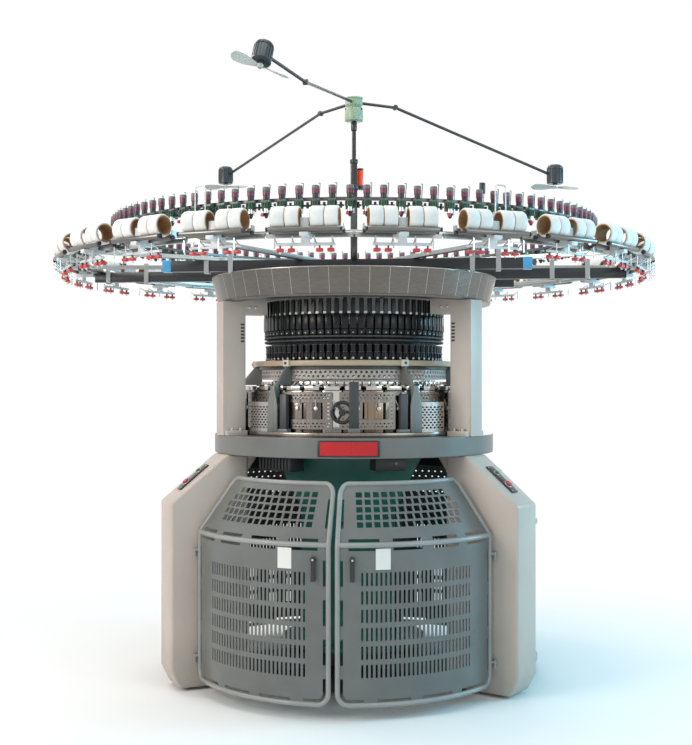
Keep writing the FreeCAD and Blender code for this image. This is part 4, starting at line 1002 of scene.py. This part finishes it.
guard_heights, window_half = (1.316, 1.500), 0.092
window_low, window_high = guard_heights[0] + 0.050, guard_heights[1] - 0.052
holes = [[(-window_half, window_low), (window_half, window_low), (window_half, window_high),
          (-window_half, window_high)]]
for base, shift in ((1.330, 0), (1.345, 1), (1.470, 0), (1.485, 1)):
    for step in range(12):
        place = -0.121 + step * 0.0215 + shift * (0.0107 if step < 11 else 0.00642)
        holes.append(oval(place, base, 0.0125, 0.0075))
for step in range(5):
    holes += [oval(side * 0.118, 1.370 + step * 0.0185, 0.015, 0.0085) for side in (-1, 1)]
guards = bent_sheets("cam_guard_frames", 0.140, guard_heights, holes, 0.0016, 0.028, 0.6005,
                     [front - 18.0 + number * 30.0 for number in range(12)])
guard_steel = brushed("guard_steel", (0.22, 0.205, 0.185), 0.24, (60.0, 3.0, 3.0))
fit(dress(guards, guard_steel), "root", "stainless")

# ------------------------------------------------------------------ fins, guards and adjusting wheel
# Six painted fins stand on the cam plate and carry the upper rings, each behind a curved grey horn and a
# dark counter plate. Low guards of punched stainless sheet stand beside them, and a black ring wheel with
# three spokes sets the stitch length in front.
fin_spread, guard_spread = 34.0, 44.0
pairs = [(front + third, side) for third in (0, 120, 240) for side in (-1, 1)]
horn_outline = [(-0.040, 0.000), (0.026, 0.000), (0.026, 0.130), (0.020, 0.170), (0.010, 0.205),
                (0.008, 0.232), (-0.018, 0.232), (-0.020, 0.205), (-0.034, 0.160), (-0.040, 0.110)]
fin_enamel = enamel("fin_enamel", (0.185, 0.187, 0.180), 0.38, 0.10)
dark_enamel = enamel("dark_bracket_enamel", (0.040, 0.043, 0.047), 0.40, 0.12)
recast("fin_castings", "ring_fins", 0.002, fin_enamel, "grey_paint")
horns = []
for third, side in pairs:
    horn = flat_sheet("horn", [(side * x, cam_foot + y) for x, y in horn_outline], [], 0.010, 1.0)
    rounded(horn, 0.002, 2, 50)
    horn.data.transform(Matrix(((0, 0, -1, 0.6335), (-1, 0, 0, 0), (0, 1, 0, 0), (0, 0, 0, 1))))
    horns.append(turned_to(dress(horn, fin_enamel), third + side * fin_spread))
    counter = made_of("counter",
                      ("plate", dark_enamel, (0.606, 0.634), (-0.021, 0.021), (1.300, 1.490), 0.005),
                      ("foot", fin_enamel, (0.604, 0.639), (-0.030, 0.030), (1.300, 1.316), 0.002))
    horns.append(turned_to(counter, third + side * (fin_spread - 5.4)))
for third in (0, 120, 240):
    upright = made_of("post", ("post", dark_enamel, (0.603, 0.628), (-0.024, 0.024), (1.300, 1.550), 0.004),
                      ("foot", fin_enamel, (0.600, 0.632), (-0.030, 0.030), (1.300, 1.322), 0.003))
    horns.append(turned_to(upright, front + third + 5.5))
fit(join("fin_horns", horns), "root", "grey_paint")

mesh_steel = brushed("punched_steel", (0.46, 0.44, 0.42), 0.30, (60.0, 3.0, 3.0))
holes = [oval(-0.066 + column * 0.0264 + (row % 2) * 0.0132, 1.322 + row * 0.0128, 0.0180, 0.0092)
         for row in range(9) for column in range(5 if row % 2 else 6)]
guard_bearings = [third + side * guard_spread for third, side in pairs]
meshes = bent_sheets("punched_guards", 0.081, (1.300, 1.450), holes, 0.003, 0.0227, 0.6325, guard_bearings)
fit(dress(meshes, mesh_steel), "root", "stainless", "mesh_guards")
# Dark sheets behind the punched guards are painted shade inside the machine.
backs = [turned_to(block("mesh_back", (0.612, 0.614), (-0.070, 0.070), (1.300, 1.440)), bearing)
         for bearing in guard_bearings]
fit(dress(join("mesh_backs", backs), shadow_and_belt_dark), "root", "stainless")

wheel_radius = 0.050
wheel = [bead("wheel", (0, 0, 0), wheel_radius, 0.0078, 40, 10),
         rod("hub", (0, 0, -0.008), (0, 0, 0.010), 0.016, 24, 0.002),
         rod("stem", (0, 0, -0.0215), (0, 0, 0), 0.012, 20)]
for spoke in (90, 210, 330):
    tip = (wheel_radius * cos(radians(spoke)), wheel_radius * sin(radians(spoke)), 0)
    wheel.append(rod("spoke", (0, 0, 0), tip, 0.0055, 10))
wheel = join("stitch_wheel", wheel)
wheel.data.transform(Matrix.Translation((0.6188, 0, 1.400)) @ Matrix.Rotation(radians(90), 4, "Y"))
dress(turned_to(wheel, front), moulded("wheel_plastic", (0.016, 0.017, 0.019), 0.22))
fit(wheel, "knob", "feeder_black", "adjusting_knob")

# ------------------------------------------------------------------ guide ring and support ring
# The yarn guide ring is a rolled strip with two staggered rows of eyed holes. Above it a beige ring, held
# by cream clamp blocks on the fins, carries the feeders' yarn guides. Bright sinker covers ring the needles.
guide_radius, guide_heights = 0.500, (1.565, 1.614)
guide_half = pi * guide_radius / 12
guide_pitch = tau * guide_radius / 120
holes = []
for column in range(10):
    for shift, level in ((0.25, 0.01023), (0.75, -0.01023)):
        place = (column + shift) * guide_pitch - guide_half
        if abs(place) < guide_half - 0.0045:
            holes.append(oval(place, sum(guide_heights) / 2 + level, 0.0140, 0.0138, 10))
strips = bent_sheets("guide_strip", guide_half, guide_heights, holes, 0.005, 0.020, guide_radius - 0.0025,
                     [front + 15.0 + number * 30.0 for number in range(12)])
smooth(edited(strips, (bpy.ops.mesh.remove_doubles, {"threshold": 0.0003})), 30)
dress(strips, enamel("guide_enamel", (0.50, 0.435, 0.405), 0.30, 0.08))
fit(strips, "root", "stainless", "guide_ring")

support_beige = enamel("support_enamel", (0.480, 0.370, 0.255), 0.36, 0.08)
clamp_cream = enamel("clamp_enamel", (0.66, 0.60, 0.50), 0.36, 0.05)
recast("support_casting", "support_ring", 0.003, support_beige, "support_paint")
shadow_ring = flat_ring("shadow_ring", (0.497, 0.512), (1.614, 1.6315), 120)
fit(dress(rounded(shadow_ring, 0.001, 1), dark_enamel), "root", "support_paint")
clamps = []
for third, side in pairs:
    clamp = made_of("clamp", ("clamp", clamp_cream, (0.532, 0.552), (-0.019, 0.019), (1.629, 1.663), 0.003),
                    ("bolt", dark_enamel, (0.551, 0, 1.646), (0.557, 0, 1.646), 0.0075, 6, 0.0008))
    clamps.append(turned_to(clamp, third + side * (fin_spread - 0.5)))
fit(join("ring_clamps", clamps), "root", "support_paint")
cover = made_of("cover", ("cover", polished[3], (0.452, 0.5085), (-0.0195, 0.0195), (1.5375, 1.552), 0.0016),
                ("neck", polished[3], (0.452, 0.470), (-0.012, 0.012), (1.5305, 1.5380), 0.001, 1))
fit(ring_of("sinker_covers", cover, 72, 2.5), "root", "stainless")

# ------------------------------------------------------------------ positive feeders and their ring
# Seventy-two belt-driven feeders hang side by side from an aluminium ring: a black moulded housing with a
# clamp above, a belt pulley and a yarn wheel below, a pale label plate and a white ceramic eye at the foot.
gloss = moulded("feeder_plastic", (0.0060, 0.0068, 0.0085), 0.26, 0.25)
matt = moulded("feeder_matt", (0.012, 0.013, 0.015), 0.50, 0.20)
for plastic in (gloss, matt):
    plastic.surface.inputs["Specular IOR Level"].default_value = 0.3
pulley = bright("pulley_metal", (0.055, 0.058, 0.064), 0.34)
ceramic = moulded("ceramic_eye", (0.78, 0.76, 0.72), 0.15, 0.05)
strap_grey = enamel("feeder_clamp", (0.12, 0.118, 0.112), 0.40, 0.10)
feeder = made_of(
    "feeder",
    ("housing", gloss, (0.436, 0.4885), (-0.0172, 0.0172), (1.818, 1.893), 0.0045),
    ("shoulder", matt, (0.436, 0.4835), (-0.0165, 0.0165), (1.790, 1.818), 0.003, 1),
    post("pulley", pulley, 0.464, 0, (1.776, 1.788), 0.020, 14, 0.0015),
    post("pulley", matt, 0.463, 0, (1.756, 1.768), 0.0195, 14, 0.0015),
    ("back", matt, (0.434, 0.446), (-0.0186, 0.0186), (1.680, 1.800), 0.001, 1),
    post("wheel_rim", pulley, 0.460, 0, (1.736, 1.742), 0.0198, 14, 0.001),
    post("wheel", gloss, 0.460, 0, (1.705, 1.736), 0.0155, 12, 0.0, 0.0175),
    post("wheel_rim", pulley, 0.460, 0, (1.699, 1.705), 0.019, 14, 0.001),
    ("foot", matt, (0.440, 0.470), (-0.0172, 0.0172), (1.672, 1.699), 0.002, 1),
    ("guide_arm", gloss, (0.470, 0.4755), (-0.003, 0.003), (1.668, 1.735), 0.001, 1),
    ("eye", ceramic, (0.474, 0, 1.671), (0.479, 0, 1.671), 0.0062, 10, 0.001),
    ("lamp_dot", ceramic, (0.482, 0, 1.800), (0.485, 0, 1.800), 0.0028, 8),
    ("clamp", gloss, (0.456, 0.487), (-0.010, 0.010), (1.893, 1.9745), 0.0025, 1),
    ("strap", strap_grey, (0.470, 0.476), (0.0112, 0.030), (1.896, 1.970), 0.0008, 1),
    ("label", ceramic, (0.476, 0.4795), (0.012, 0.0295), (1.896, 1.9075), 0.0008, 1))
fit(ring_of("feeder_set", feeder, 72), "root", "feeder_black", "positive_feeders")
for level, radius in ((1.782, 0.4852), (1.762, 0.4840)):
    name = "feeder_belt_" + str(int(level * 1000))
    belt = flat_ring(name, (radius - 0.001, radius), (level - 0.004, level + 0.004))
    fit(dress(belt, shadow_and_belt_dark), "root", "feeder_black")
feeder_alloy = brushed("feeder_alloy", (0.40, 0.40, 0.385), 0.32, (40.0, 8.0, 8.0))
recast("feeder_ring_rolled", "feeder_ring", 0.002, feeder_alloy, "aluminium")

# ------------------------------------------------------------------ top ring and crown cover
# A ring casting closes the machine above. Round it stands a cone of brushed stainless sheets, each with a
# folded edge that shows as a thin bright seam, and a rolled lip at its foot and its rim.
(foot_reach, foot_level), (rim_reach, rim_level) = (0.731, 1.9658), (0.766, 2.105)
crown_sheet = 0.004
crown_steel = brushed("crown_steel", (0.175, 0.164, 0.150), 0.30, (24.0, 240.0, 240.0), 0.20, 0.12)
seam_steel = bright("seam_steel", (0.50, 0.485, 0.455), 0.30)
cone = spun("cone", [(foot_reach, foot_level), (rim_reach, rim_level), (rim_reach - crown_sheet, rim_level),
                     (foot_reach - crown_sheet, foot_level)], 192)
run = Vector((rim_reach - foot_reach, 0, rim_level - foot_level))
seam = block("seam", (0.002, run.length - 0.004), (-0.0011, 0.0011), (-0.0004, 0.0011), 0.0004, 1)
lean = Matrix.Rotation(-atan2(run.z, run.x), 4, "Y")
seam.data.transform(Matrix.Translation((foot_reach, 0, foot_level)) @ lean)
lip_profile = [(0.672, 1.9653), (0.7345, 1.9653), (0.7385, 1.9745), (0.7340, 1.9765), (0.672, 1.9680)]
lip = spun("lip", lip_profile, 192)
crown = join("crown_cone", [dress(rounded(cone, 0.0008, 1), crown_steel), dress(lip, crown_steel),
                            dress(flat_ring("rim", (0.7600, 0.7665), (2.1020, 2.1062), 192), seam_steel),
                            ring_of("seams", dress(seam, seam_steel), 48, 3.75)])
fit(crown, "root", "stainless", "crown_cover")
recast("top_casting", "top_ring", 0.003, enamel("top_enamel", (0.20, 0.195, 0.185), 0.42, 0.12), "cast_iron")

# ------------------------------------------------------------------ creel beams, hangers and wheel
# Three black steel tubes cross the machine on posts. The front one ends in sky-blue plastic caps. On them
# lies a welded wheel of flat aluminium spokes with a rail of straight lengths, and grey hangers hold the
# beams to the spokes.
beam_black = enamel("beam_enamel", (0.018, 0.021, 0.024), 0.32, 0.15)
cap_blue = moulded("cap_plastic", (0.085, 0.36, 0.66), 0.30)
rail_alloy = bright("rail_alloy", (0.52, 0.55, 0.535), 0.30, grain=160.0)
hanger_alloy = bright("hanger_alloy", (0.50, 0.52, 0.515), 0.36)
recast("beam_tubes", "creel_beams", 0.004, beam_black, "beam_black")
recast("beam_caps", "beam_end_blocks", 0.004, cap_blue, "end_block_blue", 3)
recast("creel_spokes", "creel_wheel", 0.002, rail_alloy, "aluminium")
hangers = []
for face, side, places in ((-0.500, -1, (-0.702, -0.578, 0.637, 0.765)),
                           (0.045, -1, (-1.383, -1.166, 1.067, 1.255)),
                           (0.600, 1, (-0.765, -0.637, 0.637, 0.765))):
    inner, outer = face + side * 0.0004, face + side * 0.0064
    for place in places:
        along = (place - 0.0125, place + 0.0125)
        hangers += [
            ("hanger", hanger_alloy, along, sorted((inner, outer)), (2.098, 2.212), 0.0012, 1),
            ("saddle", hanger_alloy, along, sorted((outer, face - side * 0.048)), (2.1005, 2.1065),
             0.0012, 1),
            ("stud", hanger_alloy, (place, outer, 2.120), (place, outer + side * 0.005, 2.120), 0.0065, 6)]
fit(made_of("beam_hangers", *hangers), "root", "aluminium")

# ------------------------------------------------------------------ creel units: blocks, rollers, sensors
# Every unit has a white moulded bearing block on the rail. Two driven rollers run through it, a bar hangs
# below and carries two red yarn-break sensors, with polished arms and ceramic guides round them.
unit_count, unit_start = 24, front - 2.0
package_ring, package_axis = 1.528, 2.222
rail_face = 1.440 * cos(pi / unit_count)
rail_top, spoke_top = 2.165, 2.185
seat_angle, seat_reach = radians(36.0), 0.0623
roller_half = seat_reach * sin(seat_angle)
roller_axis = package_axis - seat_reach * cos(seat_angle)
bar_bottom = roller_axis - 0.064
block_white = moulded("block_plastic", (0.66, 0.68, 0.69), 0.36, 0.06)
roller_dark = bright("roller_metal", (0.20, 0.195, 0.185), 0.30, grain=90.0)
sensor_red = moulded("sensor_plastic", (0.62, 0.045, 0.040), 0.30, 0.08)
arm_steel = bright("arm_steel", (0.60, 0.62, 0.62), 0.24)
black_knob = moulded("knob_plastic", (0.020, 0.022, 0.024), 0.35)
recast("unit_mouldings", "unit_blocks", 0.003, block_white, "block_white")


def cross_rod(part, finish, x, z, start, end, radius, *rest):
    """The row of a rod that lies along Y."""
    return (part, finish, (x, start, z), (x, end, z), radius, *rest)


rows = []
for middle in (package_ring - roller_half, package_ring + roller_half):
    rows.append(cross_rod("roller", roller_dark, middle, roller_axis, -0.150, 0.150, 0.0117, 16, 0.0012))
    for side in (-1, 1):
        rows += [cross_rod("journal", black_knob, middle, roller_axis, side * low, side * high, radius, 12)
                 for low, high, radius in ((0.150, 0.156, 0.0080), (0.156, 0.160, 0.0105))]
fit(ring_of("unit_roller_set", made_of("rollers", *rows), unit_count, unit_start), "root", "roller_rubber",
    "unit_rollers")
rows = []
for place in (-0.106, -0.059, 0.059, 0.106):
    rows += [("sensor", sensor_red, (package_ring - 0.011, package_ring + 0.011),
              (place - 0.015, place + 0.015), (bar_bottom - 0.0255, bar_bottom - 0.0105), 0.004),
             ("stem", black_knob, (package_ring - 0.004, package_ring + 0.004),
              (place - 0.003, place + 0.003), (bar_bottom - 0.012, bar_bottom + 0.0005)),
             post("guide", ceramic, package_ring, place, (bar_bottom - 0.026, bar_bottom - 0.034), 0.0042, 8)]
fit(ring_of("sensor_set", made_of("sensors", *rows), unit_count, unit_start), "root", "sensor_red",
    "yarn_sensors")
rows = [("face_rail", rail_alloy, (rail_face + 0.001, rail_face + 0.012), (-0.185, 0.185),
         (rail_top - 0.012, rail_top + 0.010), 0.0015, 1)]
arm_end = package_ring + 0.052
for side in (-1, 1):
    for y in (side * 0.046, side * 0.119):
        rows += [("arm", arm_steel, (package_ring + 0.004, y, bar_bottom + 0.008),
                  (arm_end, y, bar_bottom + 0.030), 0.0026, 6),
                 post("drop", arm_steel, arm_end, y, (bar_bottom + 0.034, bar_bottom - 0.016), 0.0026, 6)]
    rows += [cross_rod("side_rod", arm_steel, package_ring - 0.052, spoke_top + 0.004, side * 0.020,
                       side * 0.158, 0.0055, 8),
             ("end_plate", rail_alloy, (package_ring - 0.062, package_ring - 0.030),
              sorted((side * 0.153, side * 0.157)), (spoke_top - 0.015, spoke_top + 0.018), 0.001, 1),
             ("catch", black_knob, (package_ring - 0.100, package_ring - 0.066),
              sorted((side * 0.060, side * 0.082)), (rail_top + 0.002, spoke_top + 0.012), 0.003, 1)]
fit(ring_of("unit_fittings", made_of("fittings", *rows), unit_count, unit_start), "root", "aluminium")

# ------------------------------------------------------------------ yarn packages
# Bare elastane is wound white on short cardboard tubes, two to a group with a hairline between them. The
# wall of yarn is thin, so the open brown bore is most of what shows at an end.
package_radius, bore_radius, core_radius = 0.0497, 0.0420, 0.0385
yarn_half, core_half = 0.0280, 0.0299
yarn = Finish("wound_yarn")
wound = yarn.noise(700.0, 3.0)
band = yarn.noise(26.0, 2.0)
yarn.set(base_color=yarn.ramp(band, (0.3, (0.80, 0.785, 0.765)), (0.7, (0.88, 0.865, 0.845))), roughness=0.62,
         normal=yarn.bump(wound, 0.25, 0.0006), sheen_weight=0.25, sheen_roughness=0.4)
card = Finish("cardboard_tube")
fibre = card.noise(160.0, 4.0, roughness=0.7)
card.set(base_color=card.ramp(fibre, (0.3, (0.34, 0.175, 0.075)), (0.7, (0.56, 0.33, 0.165))), roughness=0.8,
         normal=card.bump(fibre, 0.3, 0.0006))
wall = spun("wall", [(bore_radius, -yarn_half), (package_radius - 0.003, -yarn_half),
                     (package_radius, 0.005 - yarn_half), (package_radius, yarn_half - 0.005),
                     (package_radius - 0.003, yarn_half), (bore_radius, yarn_half)], 28)
core = flat_ring("core", (core_radius, bore_radius), (-core_half, core_half), 20)
package = join("package", [dress(wall, yarn), dress(core, card)])
group = [laid(new_piece("package", package.data.copy()), package_ring, middle, package_axis)
         for middle in (-0.1125, -0.0525, 0.0525, 0.1125)]
bpy.data.objects.remove(package)
fit(ring_of("package_set", join("package_group", group), unit_count, unit_start), "root", "yarn_white",
    "yarn_packages")

# ------------------------------------------------------------------ storage feeders and their rail
# A hundred and eight storage feeders sit on the outer face of an upper rail. Each is a slim green body
# with a grey cap over a magenta ring, a toothed green wheel, polished brackets and a small red lever.
storage_side, storage_sides = 3, 36
storage_face, middle = 1.254, 1.277
storage_pitch = 2 * storage_face * tan(pi / storage_sides) / storage_side
rail_dark = bright("storage_rail_metal", (0.14, 0.145, 0.150), 0.35)
cap_grey = moulded("storage_cap", (0.180, 0.172, 0.178), 0.34, 0.08)
cap_magenta = moulded("storage_ring", (0.210, 0.030, 0.080), 0.34, 0.12)
wheel_green = moulded("storage_wheel", (0.030, 0.090, 0.045), 0.38, 0.20)
body_green = moulded("storage_body", (0.060, 0.115, 0.070), 0.40, 0.20)
recast("storage_rail_drawn", "storage_rail", 0.0015, rail_dark, "aluminium", 1)
unit = [made_of(
    "storage_unit",
    post("cap", cap_grey, middle, 0, (2.382, 2.400), 0.0168, 12, 0.002, 0.0158),
    post("band", cap_magenta, middle, 0, (2.364, 2.382), 0.016, 12),
    post("neck", black_knob, middle, 0, (2.344, 2.364), 0.014, 10),
    ("feeler", black_knob, (middle + 0.006, 0.017, 2.344), (middle + 0.006, 0.0215, 2.408), 0.0016, 6),
    cross_rod("hook", black_knob, middle + 0.006, 2.408, 0.0215, 0.013, 0.0016, 6),
    ("bracket", cap_grey, (storage_face, middle + 0.008), (-0.0185, 0.0185), (2.334, 2.344), 0.0012, 1),
    post("wheel", wheel_green, middle, 0, (2.306, 2.334), 0.020, 12, 0.0, 0.0165),
    ("body", body_green, (storage_face + 0.002, middle + 0.002), (-0.019, 0.019), (2.296, 2.334), 0.002, 1),
    post("drum", arm_steel, middle, 0, (2.286, 2.306), 0.0125, 10),
    ("flag", ceramic, (middle, middle + 0.003), (0.007, 0.020), (2.278, 2.299)),
    post("funnel", black_knob, middle, 0, (2.286, 2.264), 0.015, 10, 0.0, 0.005),
    ("lever", sensor_red, (middle + 0.008, middle + 0.0225), (-0.018, -0.006), (2.270, 2.284), 0.002, 1),
    ("stop", wheel_green, (storage_face + 0.004, storage_face + 0.012), (0.019, 0.050), (2.310, 2.318)),
    post("stop_eye", black_knob, storage_face + 0.014, 0.0365, (2.302, 2.328), 0.006, 8))]
for tooth in range(12):
    peg = turned_to(block("tooth", (0.0175, 0.0218), (-0.0024, 0.0024), (2.310, 2.330)), tooth * 30.0)
    unit.append(dress(moved(peg, middle), wheel_green))
unit = join("storage_unit", unit)
row = [moved(new_piece("row", unit.data.copy()), 0, place * storage_pitch) for place in (-1, 0, 1)]
bpy.data.objects.remove(unit)
fit(ring_of("storage_set", join("row", row), storage_sides, unit_start), "root", "storage_green",
    "storage_feeders")

# Yarn rods bent to an upside-down U stand between the packages and the storage feeders, and one black
# capacitor can sits on the rail.
hoop_reach, hoop_foot, hoop_head = 1.440, 2.180, 2.395
corners = [(-0.026, hoop_foot, 0), (-0.026, hoop_head, 0.012), (0.026, hoop_head, 0.012),
           (0.026, hoop_foot, 0)]
line = [Vector((hoop_reach, point.x, point.y)) for point in round_corners(corners)]
hoops = join("yarn_hoops", [turned_to(tube("hoop", line, 0.0030), front + bearing)
                            for bearing in (-22.0, 31.5, 158.0, 211.5)])
fit(dress(smooth(hoops, 50), hanger_alloy), "root", "aluminium")
can = rod("rail_can", (middle, 0, 2.385), (middle, 0, 2.432), 0.0135, 24, 0.002)
fit(dress(turned_to(can, front + 32.0), black_knob), "root", "feeder_black")

# ------------------------------------------------------------------ mast and warning lamp
# A black tube stands on a bolted flange and steps down to a thinner one. A beacon with an orange-red lens
# and a dark cap is clamped beside the step.
mast_step, mast_top = 2.750, 2.968
mast_black = enamel("mast_enamel", (0.020, 0.022, 0.026), 0.28, 0.12)
collars = made_of(
    "collars", post("step", mast_black, 0, 0, (mast_step - 0.012, mast_step + 0.010), 0.022, 24, 0.002),
    post("top", mast_black, 0, 0, (mast_top - 0.052, mast_top - 0.004), 0.0165, 20, 0.002))
bolts = [turned_to(hex_bolt(0.046, 0, 2.200, 0.0065, 0.005), bearing) for bearing in range(45, 360, 90)]
mast = dress(softened("mast_tube", "mast", 0.0012), mast_black)
fit(join("mast_assembly", [mast, collars] + bolts), "root", "beam_black", "mast")

lens_red = Finish("beacon_lens")
rings = lens_red.noise(40.0, 1.0, (0.2, 0.2, 6.0))
lens_red.set(base_color=lens_red.ramp(rings, (0.3, (0.70, 0.030, 0.012)), (0.7, (0.95, 0.085, 0.025))),
             roughness=0.14, emission_color=(1.0, 0.06, 0.015), emission_strength=0.18)
lamp_out, lamp_low, lamp_high = 0.042, 2.620, 2.706
rows = [post("rib", lens_red, lamp_out, 0, (level, level + 0.004), 0.0174, 28)
        for level in [lamp_low + 0.008 + step * 0.0135 for step in range(6)]]
beacon = made_of(
    "beacon", post("lens", lens_red, lamp_out, 0, (lamp_low, lamp_high), 0.0166, 28, 0.002), *rows,
    post("cap", black_plastic, lamp_out, 0, (lamp_high, lamp_high + 0.010), 0.0178, 28, 0.003))
base = dress(softened("beacon_base", "warning_lamp", 0.0005, 1), black_plastic)
edited(base, (bpy.ops.mesh.bisect, {"plane_co": (0, 0, lamp_low - 0.0002), "plane_no": (0, 0, 1),
                                    "use_fill": True, "clear_outer": True}))
fit(join("beacon", [turned_to(beacon, 40.0), smooth(base)]), "root", "sensor_red", "warning_lamp")

# ------------------------------------------------------------------ fan boom
# A sage green hub with a lid and a lower skirt turns on the mast. Three black arms reach out of it to
# elbows and on to the fan motors, each a dark housing with cooling fins and a two-bladed pale propeller.
hub_sage = enamel("hub_enamel", (0.330, 0.440, 0.300), 0.36, 0.08)
arm_black = enamel("arm_enamel", (0.045, 0.048, 0.053), 0.34, 0.12)
motor_dark = enamel("fan_motor_enamel", (0.028, 0.043, 0.050), 0.34, 0.15)
blade_plastic = Finish("blade_plastic")
blade_plastic.set(base_color=blade_plastic.ramp(blade_plastic.noise(9.0, 2.0), (0.3, (0.50, 0.505, 0.48)),
                                                (0.7, (0.58, 0.585, 0.56))), roughness=0.30)
hub_plastic = moulded("blade_hub_plastic", (0.52, 0.53, 0.51), 0.34, 0.05)
hub = [dress(softened("hub_drum", "fan_hub", 0.004, 3), hub_sage),
       made_of("covers", post("lid", hub_sage, 0, 0, (3.086, 3.0945), 0.0515, 40, 0.003),
               post("skirt", hub_sage, 0, 0, (2.968, 3.036), 0.050, 40, 0.003))]
for side, bearing in foot_pads:
    screw = rod("screw", (0.046, 0, 3.030), (0.0515, 0, 3.030), 0.0062, 12, 0.001)
    hub.append(turned_to(dress(screw, dark_enamel), bearing))
fit(join("fan_hub_set", hub), "fan_boom", "hub_green", "fan_hub")
recast("fan_arm_tubes", "fan_arms", 0.0012, arm_black, "beam_black", body="fan_boom")

motor_half, motor_radius = 0.0525, 0.044
blade_top = -motor_half - 0.012
blade_root, blade_run = 0.0105, 0.1295
blade_steps, blade_across = 12, 6


def at_motor(piece, bearing, reach, height, tilt):
    """Move a piece drawn about a motor's own axis, shaft down, to the end of its arm."""
    lean = Matrix.Translation((reach, 0, height)) @ Matrix.Rotation(radians(-tilt), 4, "Y")
    piece.data.transform(Matrix.Rotation(radians(bearing), 4, "Z") @ lean)
    return piece


def wing():
    """One wing of the propeller: narrow root, full belly and a round tip, twisted along its length."""
    points = []
    for step in range(blade_steps + 1):
        share = step / blade_steps
        half = 0.0085 + 0.0160 * sin(min(1.0, share * 1.6) * pi / 2) ** 1.5
        half = max(0.0006, half * sqrt(max(0.0, 1 - max(0.0, (share - 0.80) / 0.2002) ** 2)))
        pitch = radians(38.0 - 14.0 * share)
        for number in range(blade_across + 1):
            across = 2 * number / blade_across - 1
            place, camber = across * half, 0.0028 * (1 - across ** 2)
            points.append((blade_root + share * blade_run, place * cos(pitch) - camber * sin(pitch),
                           place * sin(pitch) + camber * cos(pitch)))
    row = blade_across + 1
    faces = [(base + number, base + row + number, base + row + 1 + number, base + number + 1)
             for base in range(0, blade_steps * row, row) for number in range(blade_across)]
    made = modified(meshed("wing", points, [], faces), "SOLIDIFY", thickness=0.0022, offset=0.0)
    return dress(moved(smooth(made, 60), 0, 0, blade_top - 0.008), blade_plastic)


motors = []
for name, bearing, reach, height, tilt, spin in (("near", -104.5, 1.190, 3.016, 24.0, 135.0),
                                                 ("right", 15.5, 1.144, 2.716, 0.0, 0.0),
                                                 ("far", 135.5, 1.250, 2.850, 0.0, 45.0)):
    parts = [spun("shell", [(0.006, -motor_half), (motor_radius - 0.003, -motor_half),
                            (motor_radius, 0.003 - motor_half), (motor_radius, motor_half - 0.016),
                            (motor_radius * 0.90, motor_half - 0.006), (motor_radius * 0.66, motor_half),
                            (0.006, motor_half)], 40),
             rod("bearing_boss", (0, 0, -motor_half - 0.006), (0, 0, 0.001 - motor_half), 0.014, 20, 0.001),
             rod("tail_boss", (0, 0, motor_half - 0.002), (0, 0, motor_half), 0.012, 20)]
    rib = block("rib", (motor_radius - 0.002, motor_radius + 0.0022), (-0.0012, 0.0012),
                (0.014 - motor_half, motor_half - 0.024))
    parts.append(ring_of("ribs", rib, 18, 10.0))
    skin = (motor_radius - 0.001, motor_radius + 0.0018)
    parts += [flat_ring("band", skin, (level - 0.004, level + 0.004), 40)
              for level in (0.008 - motor_half, motor_half - 0.020)]
    spindle = rod("shaft", (0, 0, -motor_half - 0.034), (0, 0, -motor_half - 0.004), 0.005, 12)
    motor = join("motor", [dress(join("housing", parts), motor_dark), dress(spindle, collar_steel)])
    motors.append(at_motor(motor, bearing, reach, height, tilt))
    hub = spun("blade_hub", [(0.0052, blade_top - 0.016), (0.0110, blade_top - 0.016),
                             (0.0142, blade_top - 0.011), (0.0142, blade_top), (0.0052, blade_top)], 28)
    propeller = join("propeller_" + name, [dress(hub, hub_plastic), wing(), turned_to(wing(), 180)])
    fit(at_motor(turned_to(propeller, spin), bearing, reach, height, tilt), "blade_" + name, "blade_pale",
        "fan_blade_" + name)
fit(join("fan_motor_set", motors), "fan_boom", "motor_grey", "fan_motors")
